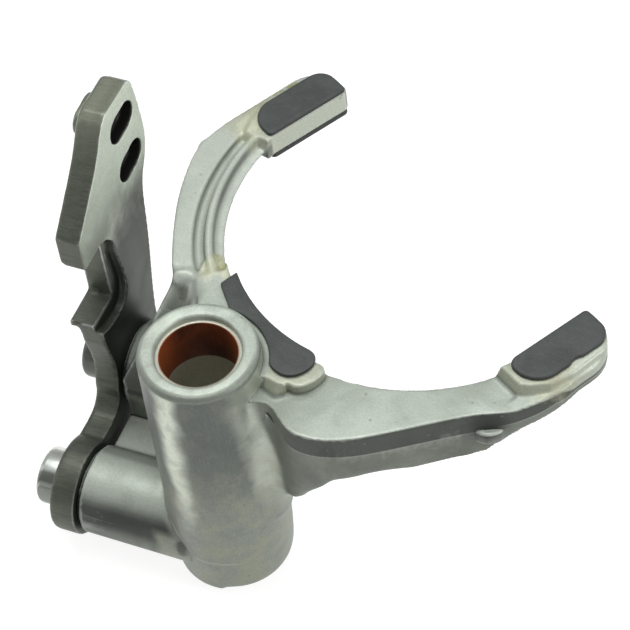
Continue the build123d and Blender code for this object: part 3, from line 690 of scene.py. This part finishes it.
# place and radius in mm, with a stretch: below 1 along an axis the spot is longer there
stainsAndShade = [
    ((-6.8, 25.6, 1.0), (1, 1, 0.4), 2.4, "stain", 0.8),
    ((-8.4, 27.6, 1.0), (1, 1, 0.4), 1.9, "stain", 0.55),
    ((-11.6, 78.2, 2.6), (1, 1, 0.9), 1.6, "stain", 0.6),
    ((-12.7, 76.9, 2.5), (1, 1, 0.9), 1.5, "stain", 0.7),
    ((-13.8, 75.6, 2.4), (1, 1, 0.9), 1.5, "stain", 0.6),
    ((-15.0, 74.3, 2.3), (1, 1, 0.9), 1.4, "stain", 0.55),
    ((-16.2, 73.0, 2.2), (1, 1, 0.9), 1.4, "stain", 0.45),
    ((-17.8, 69.5, 2.0), (0.8, 0.6, 0.5), 3.4, "tarnish", 0.7),
    ((-16.1, 64.3, 1.8), (0.8, 0.6, 0.5), 3.6, "cream", 0.75),
    ((-8.6, 24.0, 1.2), (0.9, 0.6, 0.4), 3.0, "cream", 0.85),
    ((-4.4, 23.6, 2.0), (1, 1, 0.4), 2.6, "cream", 0.8),
    ((68.6, 19.8, 1.2), (0.6, 0.6, 0.6), 3.4, "tarnish", 0.6),
    # the last two spots are painted shade: in the dimple below the arch and in the crease where the lower
    # boss meets the barrel
    ((-12.6, 18.6, -1.4), (1, 1, 0.6), 1.9, "dimpleShade", 0.75),
    ((-6.2, -12.6, -50.4), (0.9, 0.9, 0.5), 1.8, "pocket", 0.75),
]
castMetal, tree, shader, place = newMaterial("castAluminium")
geometry = put(tree, "NewGeometry").outputs
axes = put(tree, "SeparateXYZ", {0: place}).outputs
facing = put(tree, "SeparateXYZ", {0: geometry["Normal"]}).outputs
level = vectorCalc(tree, "MULTIPLY", place, (1, 1, 0))
railDistance = lengthOf(tree, level)
alongValue, acrossValue = directed(tree, place, along), directed(tree, place, across)
grain = skinGrain(tree, place, 2300.0, 380.0, 90.0)
broad = skinGrain(tree, place, 260.0, 150.0, 38.0)
upward = between(tree, facing["Z"], 0.45, 0.85)
tone = mixValue(tree, 0.5, grain["Drift"], broad["Drift"])
topTone = mixColour(tree, tone, castLook["topDark"], castLook["top"])
shadedWallTone = mixColour(tree, tone, castLook["wallDark"], castLook["wall"])
# faces that don't face up take the darker wall colours: painted shade
colour = mixColour(tree, upward, shadedWallTone, topTone)
smudge = between(tree, broad["Height"], 0.46, 0.36)
colour = mixColour(tree, times(tree, smudge, 0.3), colour, castLook["wall"])
rightFace = times(tree, between(tree, acrossValue, -10 * mm, -18 * mm), upward, 0.3)
colour = mixColour(tree, rightFace, colour, castLook["topDark"])
shoulder = times(tree, between(tree, acrossValue, -46.0 * mm, -48.0 * mm),
                 between(tree, alongValue, 46 * mm, 50 * mm),
                 between(tree, facing["Z"], 0.1, 0.5), between(tree, alongValue, 57 * mm, 53 * mm), 0.6)
colour = mixColour(tree, shoulder, colour, castLook["wall"])
# the left arm's faces are painted lighter: painted light
leftArmPaintedLight = times(tree, between(tree, acrossValue, 12 * mm, 18 * mm), between(tree, facing["Z"], 0.2, 0.6),
                 0.35)
colour = mixColour(tree, leftArmPaintedLight, colour, castLook["edge"])
hubSide = times(tree, between(tree, railDistance, 27 * mm, 17 * mm),
                between(tree, acrossValue, -9 * mm, -15 * mm),
                upward, 0.75)
colour = mixColour(tree, hubSide, colour, castLook["wall"])

# outer walls of the arms: a darker band of painted shade over the parting line and a thin bright flash line
# on it
rimOffset = vectorCalc(tree, "SUBTRACT", level, tuple(forkReach * along))
rimDistance = lengthOf(tree, rimOffset)
armWall = times(tree, between(tree, rimDistance, 47.5 * mm, 48.5 * mm),
                between(tree, facing["Z"], 0.5, 0.25),
                between(tree, railDistance, 19 * mm, 25 * mm))
partingHeight = remap(tree, alongValue, -5.6 * mm, -1.4 * mm, 34 * mm, 50 * mm)
overParting = minus(tree, axes["Z"], partingHeight)
# towards the tips the band narrows to a line and the bevel above it is bright
overBand = minus(tree, overParting, remap(tree, alongValue, 6.0 * mm, 0.8 * mm, 43 * mm, 55 * mm))
colour = mixColour(tree, times(tree, armWall, between(tree, overParting, -0.25 * mm, 0.35 * mm),
                               between(tree, overBand, 0.3 * mm, -0.3 * mm), 0.9), colour,
                   castLook["upperBandShade"])
bevel = times(tree, between(tree, acrossValue, -43 * mm, -47 * mm),
              between(tree, alongValue, 47 * mm, 54 * mm),
              between(tree, overBand, -0.3 * mm, 0.4 * mm), 0.75)
colour = mixColour(tree, bevel, colour, castLook["tipFlat"])
flashLine = times(tree, armWall, between(tree, absolute(tree, overParting), 0.28 * mm, 0.08 * mm))
colour = mixColour(tree, times(tree, flashLine, 0.22), colour, castLook["edge"])

# round bosses: a painted highlight on top, painted shade on their lower sides and on their back
bossReach = times(tree, between(tree, railDistance, 14.0 * mm, 15.2 * mm),
                  between(tree, axes["X"], 0.0, -4 * mm),
                  between(tree, axes["Z"], -22 * mm, -28 * mm))
colour = mixColour(tree, times(tree, bossReach, between(tree, facing["Z"], 0.62, 0.85), 0.5), colour,
                   castLook["top"])
lowSideShade = times(tree, between(tree, facing["Z"], 0.86, 0.5), between(tree, facing["Z"], -0.1, 0.3))
colour = mixColour(tree, times(tree, bossReach, lowSideShade, 0.85), colour, castLook["lowSideShade"])
farSideShade = times(tree, bossReach, between(tree, facing["Y"], 0.05, 0.4),
                between(tree, facing["Z"], 0.97, 0.9), 0.5)
colour = mixColour(tree, farSideShade, colour, castLook["wallDark"])

# barrel wall: fine drawn streaks, and painted reflections: light bands at two bearings and a lighter lower
# part, darker on the side away from the arms, evening out below
barrelReach = remap(tree, between(tree, axes["Z"], 0 * mm, -22 * mm), 13.6 * mm, 17.6 * mm)
onBarrel = times(tree, between(tree, minus(tree, railDistance, barrelReach), 1.0 * mm, -1.0 * mm),
                 between(tree, axes["Z"], 6.4 * mm, 5.6 * mm),
                 between(tree, facing["Z"], 0.55, 0.3), between(tree, railDistance, 11.0 * mm, 12.0 * mm))
turnAngle = put(tree, "Math", {0: axes["Y"], 1: axes["X"]}, operation="ARCTAN2").outputs[0]
wander = times(tree, minus(tree, broad["Drift"], 0.5), 0.14)
ripple = times(tree, minus(tree, broad["Height"], 0.5), 0.22)
wavyAngle = plus(tree, plus(tree, turnAngle, wander), ripple)
leftReflectionBand = times(tree, between(tree, wavyAngle, radians(-121), radians(-104)),
                 between(tree, wavyAngle, radians(-82), radians(-100)))
rightReflectionBand = times(tree, between(tree, wavyAngle, radians(-46), radians(-18)),
                  remap(tree, between(tree, wavyAngle, radians(-4), radians(12)), 0.72, 0.7))
lowerPart = between(tree, axes["Z"], -8 * mm, -42 * mm)
reflectionBands = calc(tree, "MAXIMUM", leftReflectionBand, rightReflectionBand)
reflectionBands = times(tree, reflectionBands, remap(tree, between(tree, axes["Z"], -22 * mm, -46 * mm), 1.0, 0.25))
# lighter low down: a painted reflection
paintedReflection = calc(tree, "MAXIMUM", reflectionBands, times(tree, lowerPart, 0.24))
drawn = streaks(tree, place, (1500, 1500, 45), 0.03)
barrelTone = mixColour(tree, paintedReflection, castLook["barrelDarkReflection"], castLook["barrelLightReflection"])
barrelTone = mixColour(tree, times(tree, drawn["Lines"], 0.05), barrelTone, castLook["edge"])
barrelTone = mixColour(tree, times(tree, smudge, 0.3), barrelTone, castLook["wallDark"])
blotch = between(tree, plus(tree, broad["Height"], times(tree, grain["Height"], 0.25)), 0.56, 0.74)
barrelTone = mixColour(tree, times(tree, blotch, remap(tree, lowerPart, 0.15, 0.65)), barrelTone,
                       castLook["warm"])
# a faint line round the foot, where the core of the barrel ends
footLine = times(tree, between(tree, absolute(tree, plus(tree, axes["Z"], 51.6 * mm)), 0.4 * mm, 0.1 * mm),
                 between(tree, wavyAngle, radians(-106), radians(-98)),
                 between(tree, wavyAngle, radians(-48), radians(-64)), 0.25)
barrelTone = mixColour(tree, footLine, barrelTone, castLook["edge"])
colour = mixColour(tree, times(tree, onBarrel, 0.9), colour, barrelTone)

# bright faces: platforms under the pads, the milled flats between them and the turned ring
tipShoulder = times(tree, between(tree, alongValue, 40 * mm, 43 * mm),
                    between(tree, alongValue, 56 * mm, 49 * mm))
lobe = times(tree, between(tree, acrossValue, -9 * mm, -12 * mm),
             between(tree, railDistance, 30 * mm, 26 * mm))
platform = times(tree, between(tree, axes["Z"], 0.3 * mm, 1.4 * mm),
                 between(tree, axes["Z"], 3.6 * mm, 3.1 * mm),
                 between(tree, railDistance, 13.6 * mm, 14.4 * mm),
                 calc(tree, "MAXIMUM", tipShoulder, lobe))
colour = mixColour(tree, times(tree, platform, 0.8), colour, castLook["platform"])
acrossSize = absolute(tree, acrossValue)
tipFlat = times(tree, between(tree, alongValue, 46.5 * mm, 47.5 * mm),
                between(tree, acrossSize, 41.3 * mm, 40.9 * mm),
                between(tree, absolute(tree, directed(tree, geometry["Normal"], across)), 0.8, 0.95))
colour = mixColour(tree, tipFlat, colour, castLook["tipFlat"])
inBore = times(tree, between(tree, railDistance, 9.7 * mm, 9.35 * mm),
               between(tree, axes["Z"], 4.6 * mm, 4.0 * mm))
colour = mixColour(tree, inBore, colour, castLook["bore"])
seat = times(tree, between(tree, railDistance, 10.2 * mm, 9.9 * mm),
             between(tree, axes["Z"], 5.0 * mm, 5.4 * mm))
turned = times(tree, between(tree, railDistance, 12.15 * mm, 11.85 * mm),
               between(tree, axes["Z"], 6.3 * mm, 6.6 * mm))
turned = calc(tree, "MAXIMUM", turned, seat)
ringTone = mixColour(tree, times(tree, between(tree, broad["Height"], 0.46, 0.66), 0.45), castLook["ring"],
                     castLook["wall"])
colour = mixColour(tree, turned, colour, ringTone)
# the ring's front chamfer is painted darker: painted shade
frontChamferShade = times(tree, between(tree, railDistance, 11.1 * mm, 11.7 * mm),
             between(tree, railDistance, 13.5 * mm, 13.0 * mm),
             between(tree, axes["Z"], 5.4 * mm, 6.2 * mm),
             between(tree, directed(tree, place, (0.35, -0.94, 0.0)), -2 * mm, 7 * mm))
colour = mixColour(tree, times(tree, frontChamferShade, 0.95), colour, castLook["wall"])

# painted shade in the corners and round the lug, a painted highlight on the edges, pits, stains
# painted shade in the inner corners
shadeInCorners = wearAndLightMask(tree, place, "innerCorner", 0.3, 1.0, 0.2)
colour = mixColour(tree, times(tree, shadeInCorners, 0.45), colour, castLook["cornerShadeColour"])
# a painted highlight on the outer edges, less on the turned ring
edge = wearAndLightMask(tree, place, "outerEdge", 0.4, 1.0, 0.2)
colour = mixColour(tree, times(tree, edge, minus(tree, 0.45, times(tree, turned, 0.4))), colour,
                   castLook["edge"])
# painted shade round the lug, but not on its top
lugSpot = tuple(lugPlace * np.array([1, 1, 0]) - 1.2 * mm * along + np.array([0, 0, -3.4 * mm]))
lugShadeRing = useGroup(tree, stainAndShadeGroup,
                   {"Vector": place, "Centre": lugSpot, "Radius": 6.2 * mm, "Raggedness": 0.35,
                    "Scale": 300.0})["Mask"]
onLug = between(tree, facing["Z"], 0.3, 0.7)
colour = mixColour(tree, times(tree, lugShadeRing, 0.95, minus(tree, 1.0, onLug)), colour, castLook["pocket"])
for centre, stretch, size, kind, strength in stainsAndShade:
    spot = useGroup(tree, stainAndShadeGroup,
                    {"Vector": place, "Centre": tuple(c * mm for c in centre), "Stretch": stretch,
                     "Radius": size * mm, "Raggedness": 1.1, "Scale": 620.0})["Mask"]
    colour = mixColour(tree, times(tree, spot, strength), colour, castLook[kind])
colour = mixColour(tree, times(tree, grain["Pits"], 0.5), colour, castLook["wallDark"])
colour = speckled(tree, colour, grain["Speckle"], 0.88, 1.12)
tree.links.new(colour, shader.inputs["Base Color"])
bright = calc(tree, "MAXIMUM", turned, times(tree, tipFlat, 0.6))
metal = mixValue(tree, times(tree, onBarrel, paintedReflection), castLook["metallic"], 0.6)
tree.links.new(mixValue(tree, bright, metal, 0.4), shader.inputs["Metallic"])
rough = remap(tree, grain["Drift"], castLook["roughness"] + 0.05, castLook["roughness"] - 0.05)
rough = mixValue(tree, onBarrel, rough, 0.42)
rough = mixValue(tree, inBore, rough, 0.6)
rough = mixValue(tree, bright, rough, 0.36)
tree.links.new(rough, shader.inputs["Roughness"])
rings = useGroup(tree, ringGroup, {"Vector": place, "Distance": railDistance, "Pitch": 0.22 * mm})["Height"]
skin = minus(tree, grain["Height"], times(tree, grain["Pits"], 0.8))
skin = mixValue(tree, onBarrel, skin, mixValue(tree, 0.5, skin, drawn["Height"]))
skin = mixValue(tree, turned, skin, rings)
lumps = bumpNormal(tree, broad["Height"], 0.22 * mm, 0.5)
tree.links.new(bumpNormal(tree, skin, castLook["grainDepth"], 0.55, lumps), shader.inputs["Normal"])
dress(castingBody, castMetal)
print("cast aluminium done")

# plate steel: a satin rolled face, and sheared edges with a burnished and a torn band

plateLook = {
    "face": (0.80, 0.875, 0.755, 1),
    "faceDark": (0.68, 0.745, 0.64, 1),
    "shade": (0.024, 0.031, 0.020, 1),
    "edge": (0.108, 0.117, 0.092, 1),
    "edgeLight": (0.215, 0.235, 0.18, 1),
    "torn": (0.062, 0.066, 0.052, 1),
    "worn": (0.56, 0.57, 0.56, 1),
    "pocket": (0.022, 0.022, 0.02, 1),
    "grainDepth": 0.035 * mm,
}
plateMetal, tree, shader, place = newMaterial("plateSteel")
geometry = put(tree, "NewGeometry").outputs
axes = put(tree, "SeparateXYZ", {0: place}).outputs
facing = put(tree, "SeparateXYZ", {0: geometry["Normal"]}).outputs
grain = skinGrain(tree, place, 2600.0, 520.0, 70.0)
shear = streaks(tree, place, (90, 1300, 1300), 0.05)
rolledLines = streaks(tree, place, (300, 900, 60), 0.04)
flatFace = between(tree, absolute(tree, facing["X"]), 0.55, 0.85)
faceTone = mixColour(tree, grain["Drift"], plateLook["faceDark"], plateLook["face"])
faceTone = mixColour(tree, times(tree, rolledLines["Lines"], 0.12), faceTone, plateLook["worn"])
tornLine = plus(tree, axes["X"], times(tree, minus(tree, shear["Height"], 0.5), 1.6 * mm))
torn = between(tree, tornLine, -35.2 * mm, -33.6 * mm)
upperEdge = between(tree, plus(tree, axes["Z"], times(tree, grain["Drift"], 5 * mm)), 20 * mm, 35 * mm)
edgeTone = mixColour(tree, upperEdge, plateLook["edge"], plateLook["edgeLight"])
edgeTone = mixColour(tree, times(tree, torn, 0.22), edgeTone, plateLook["torn"])
edgeTone = mixColour(tree, times(tree, shear["Lines"], 0.04), edgeTone, plateLook["face"])
# painted shade: the lower half of the face is darker, above all beside the barrel
lowerShade = between(tree, plus(tree, axes["Z"], times(tree, grain["Drift"], 4 * mm)), 15 * mm, -3 * mm)
faceTone = mixColour(tree, times(tree, lowerShade, 0.96), faceTone, plateLook["shade"])
colour = mixColour(tree, flatFace, edgeTone, faceTone)
# painted shade inside the slots
slotShade = times(tree, between(tree, axes["X"], -32.2 * mm, -32.7 * mm),
               between(tree, axes["X"], -36.2 * mm, -35.4 * mm),
               between(tree, absolute(tree, minus(tree, axes["Y"], 38.8 * mm)), 5.9 * mm, 5.5 * mm),
               between(tree, axes["Z"], 6.8 * mm, 7.4 * mm), between(tree, axes["Z"], 28.4 * mm, 28.0 * mm))
colour = mixColour(tree, slotShade, colour, plateLook["pocket"])
edge = wearAndLightMask(tree, place, "outerEdge", 0.3, 0.95, 0.25, 600.0)
nearNotch = useGroup(tree, stainAndShadeGroup,
                     {"Vector": place, "Centre": (-35 * mm, 21 * mm, -6 * mm), "Radius": 15 * mm,
                      "Raggedness": 0.5, "Scale": 200.0})["Mask"]
wornEdge = times(tree, edge, remap(tree, nearNotch, 0.35, 0.95))
colour = mixColour(tree, wornEdge, colour, plateLook["worn"])
# painted shade in the corners
shadeInCorners = wearAndLightMask(tree, place, "innerCorner", 0.2, 0.9, 0.15)
colour = mixColour(tree, times(tree, shadeInCorners, 0.75), colour, plateLook["pocket"])
colour = speckled(tree, colour, grain["Speckle"], 0.88, 1.12)
tree.links.new(colour, shader.inputs["Base Color"])
tree.links.new(mixValue(tree, wornEdge, 0.5, 0.8), shader.inputs["Metallic"])
rough = mixValue(tree, flatFace, remap(tree, shear["Height"], 0.36, 0.56, 0.3, 0.7),
                 remap(tree, grain["Drift"], 0.46, 0.38))
tree.links.new(mixValue(tree, wornEdge, rough, 0.28), shader.inputs["Roughness"])
skin = mixValue(tree, flatFace, mixValue(tree, 0.6, grain["Height"], shear["Height"]), grain["Height"])
tree.links.new(bumpNormal(tree, skin, plateLook["grainDepth"], 0.6), shader.inputs["Normal"])
dress(plateBody, plateMetal)
print("plate steel done")

# pad plastic: filled nylon, matte, with a fine spark-eroded skin, pale scuff lines, a painted sheen on the
# edges and painted shade on the side walls

padLook = {
    "body": (0.062, 0.071, 0.067, 1),
    "dark": (0.045, 0.052, 0.048, 1),
    "paler": (0.17, 0.185, 0.17, 1),
    "side": (0.014, 0.016, 0.015, 1),
    "grainDepth": 0.03 * mm,
}
padPlastic, tree, shader, place = newMaterial("padPlastic")
grain = skinGrain(tree, place, 3200.0, 700.0, 120.0)
rubs = streaks(tree, place, (220, 900, 400), 0.035)
colour = mixColour(tree, grain["Drift"], padLook["dark"], padLook["body"])
colour = mixColour(tree, times(tree, rubs["Lines"], 0.10), colour, padLook["paler"])
facing = put(tree, "SeparateXYZ", {0: put(tree, "NewGeometry").outputs["Normal"]}).outputs
# painted shade on the side walls
side = between(tree, absolute(tree, facing["Z"]), 0.7, 0.3)
colour = mixColour(tree, times(tree, side, 0.75), colour, padLook["side"])
# a painted sheen on the edges
edge = wearAndLightMask(tree, place, "outerEdge", 0.3, 1.0, 0.2)
colour = mixColour(tree, times(tree, edge, 0.12), colour, padLook["paler"])
colour = speckled(tree, colour, grain["Speckle"], 0.85, 1.15)
tree.links.new(colour, shader.inputs["Base Color"])
tree.links.new(remap(tree, grain["Height"], 0.62, 0.48), shader.inputs["Roughness"])
tree.links.new(bumpNormal(tree, grain["Height"], padLook["grainDepth"], 0.6), shader.inputs["Normal"])
for pad in padBodies:
    dress(pad, padPlastic)

# bush lining: bronze-filled red-brown layer with a pale steel rim

bushLook = {
    "lining": (0.30, 0.07, 0.017, 1),
    "liningDark": (0.085, 0.02, 0.008, 1),
    "liningMid": (0.17, 0.04, 0.012, 1),
    "rim": (0.42, 0.42, 0.35, 1),
    "grainDepth": 0.02 * mm,
}
bushMetal, tree, shader, place = newMaterial("bushLining")
axes = put(tree, "SeparateXYZ", {0: place}).outputs
level = vectorCalc(tree, "MULTIPLY", place, (1, 1, 0))
railDistance = lengthOf(tree, level)
grain = skinGrain(tree, place, 2200.0, 420.0, 150.0)
lines = streaks(tree, place, (700, 700, 60), 0.05)
# the two sides are painted brighter bronze: a painted reflection
sides = put(tree, "Math", {0: axes["Y"], 1: axes["X"]}, operation="ARCTAN2").outputs[0]
paler = between(tree, absolute(tree, calc(tree, "SINE", minus(tree, sides, radians(112)))), 0.55, 0.95)
colour = mixColour(tree, grain["Drift"], bushLook["liningDark"], bushLook["liningMid"])
colour = mixColour(tree, paler, colour, bushLook["lining"])
colour = mixColour(tree, times(tree, lines["Lines"], 0.2), colour, bushLook["lining"])
rim = between(tree, railDistance, 8.14 * mm, 8.3 * mm)
colour = mixColour(tree, rim, colour, bushLook["rim"])
tree.links.new(colour, shader.inputs["Base Color"])
tree.links.new(mixValue(tree, rim, 0.25, 0.8), shader.inputs["Metallic"])
tree.links.new(remap(tree, grain["Speckle"], 0.34, 0.5, 0.3, 0.7), shader.inputs["Roughness"])
skin = mixValue(tree, 0.5, grain["Height"], lines["Height"])
tree.links.new(bumpNormal(tree, skin, bushLook["grainDepth"], 0.6), shader.inputs["Normal"])
for bush in bushBodies:
    dress(bush, bushMetal)

# rivet steel: bright zinc, with the marks of the heading tool round its own axis

rivetLook = {
    "zinc": (0.78, 0.83, 0.77, 1),
    "dull": (0.62, 0.66, 0.61, 1),
    "under": (0.11, 0.12, 0.10, 1),
    "scuff": (0.22, 0.22, 0.21, 1),
    "metallic": {"upperRivet": 0.3, "lowerRivet": 0.7},
    "grainDepth": 0.02 * mm,
}
for rivet, (y, z) in zip(rivetBodies, rivets["places"].values()):
    rivetMetal, tree, shader, place = newMaterial(rivet.name + "Zinc")
    offset = vectorCalc(tree, "SUBTRACT", place, (0, y, z))
    radial = vectorCalc(tree, "MULTIPLY", offset, (0, 1, 1))
    axisDistance = lengthOf(tree, radial)
    grain = skinGrain(tree, place, 1900.0, 450.0, 190.0)
    rings = useGroup(tree, ringGroup,
                     {"Vector": place, "Distance": axisDistance, "Pitch": 0.3 * mm})["Height"]
    drawn = streaks(tree, place, (120, 1500, 1500), 0.04)
    colour = mixColour(tree, grain["Drift"], rivetLook["dull"], rivetLook["zinc"])
    colour = mixColour(tree, times(tree, grain["Pits"], 0.5), colour, rivetLook["scuff"])
    colour = mixColour(tree, times(tree, drawn["Lines"], 0.2), colour, rivetLook["scuff"])
    facing = put(tree, "SeparateXYZ", {0: put(tree, "NewGeometry").outputs["Normal"]}).outputs
    # painted shade on the head's lower side
    under = times(tree, between(tree, facing["Y"], -0.36, -0.52), between(tree, facing["X"], -0.8, -0.5),
                  remap(tree, between(tree, absolute(tree, plus(tree, facing["Y"], 0.8)), 0.02, 0.07),
                        0.45, 1.0))
    colour = mixColour(tree, times(tree, under, 0.8), colour, rivetLook["under"])
    # the whole upper rivet is painted darker: painted shade
    if rivet.name == "upperRivet":
        colour = mixColour(tree, 0.9, colour, rivetLook["under"])
    tree.links.new(colour, shader.inputs["Base Color"])
    shader.inputs["Metallic"].default_value = rivetLook["metallic"][rivet.name]
    tree.links.new(remap(tree, grain["Drift"], 0.34, 0.24), shader.inputs["Roughness"])
    skin = mixValue(tree, 0.5, grain["Height"], rings)
    tree.links.new(bumpNormal(tree, skin, rivetLook["grainDepth"], 0.6), shader.inputs["Normal"])
    dress(rivet, rivetMetal)
print("materials done")

# floor, world, lamps and camera

studio = {
    "floorZ": -65.5 * mm,
    "floorSize": 6.0,
    "floorPaint": (0.34, 0.34, 0.33, 1),
    "floorGlow": 0.86,
    "worldLevel": 0.30,
    "lampAim": (0.0, 0.03, -0.02),
    # place, width and height, power
    "lamps": {
        "overhead": ((-0.10, 0.14, 0.76), (0.5, 0.5), 3.55),
        "leftSide": ((-0.62, -0.22, 0.30), (0.25, 0.5), 0.55),
        "rightFill": ((0.62, 0.02, 0.36), (0.4, 0.4), 1.8),
    },
}
floorVerts = np.array([[-1, -1, 0], [1, -1, 0], [1, 1, 0], [-1, 1, 0]]) * studio["floorSize"] / 2
floorVerts[:, 2] = studio["floorZ"]
floor = addPiece("floor", floorVerts, np.array([[0, 1, 2, 3]]), smooth=False)
floorPaint, tree, shader, place = newMaterial("floorPaint")
shader.inputs["Base Color"].default_value = studio["floorPaint"]
shader.inputs["Roughness"].default_value = 0.9
rays = put(tree, "LightPath").outputs
seen = calc(tree, "MAXIMUM", calc(tree, "MAXIMUM", rays["Is Camera Ray"], rays["Is Glossy Ray"]),
            rays["Is Transmission Ray"])
glow = put(tree, "Emission", {"Color": (1, 1, 1, 1), "Strength": times(tree, seen, studio["floorGlow"])})
both = put(tree, "AddShader", {0: shader.outputs[0], 1: glow.outputs[0]})
tree.links.new(both.outputs[0], tree.nodes["Material Output"].inputs["Surface"])
floor.data.materials.append(floorPaint)

world = bpy.data.worlds.new("studio")
bpy.context.scene.world = world
world.use_nodes = True
world.node_tree.nodes["Background"].inputs["Color"].default_value = (1, 1, 1, 1)
world.node_tree.nodes["Background"].inputs["Strength"].default_value = studio["worldLevel"]


def softBox(name, at, aim, size, power):
    data = bpy.data.lights.new(name, "AREA")
    data.shape = "RECTANGLE"
    data.size, data.size_y = size
    data.energy = power
    lamp = bpy.data.objects.new(name, data)
    bpy.context.scene.collection.objects.link(lamp)
    lamp.location = at
    lamp.rotation_euler = (Vector(aim) - Vector(at)).to_track_quat("-Z", "Y").to_euler()


for name, (at, size, power) in studio["lamps"].items():
    softBox(name, at, studio["lampAim"], size, power)

view = {
    "place": (0.17844, -0.27265, 0.41772),
    "right": (0.92134, 0.37774, -0.09189),
    "down": (0.24427, -0.74638, -0.61907),
    "forward": (-0.30244, 0.54793, -0.77994),
    "lens": 148.55,
}
cameraData = bpy.data.cameras.new("photoCamera")
cameraData.sensor_width = 36
cameraData.lens = view["lens"]
cameraData.clip_start = 0.01
camera = bpy.data.objects.new("photoCamera", cameraData)
bpy.context.scene.collection.objects.link(camera)
turn = Matrix((view["right"], [-c for c in view["down"]], [-c for c in view["forward"]])).transposed()
camera.matrix_world = Matrix.Translation(view["place"]) @ turn.to_4x4()
bpy.context.scene.camera = camera
bpy.context.scene.view_settings.view_transform = "Standard"
print("studio done")
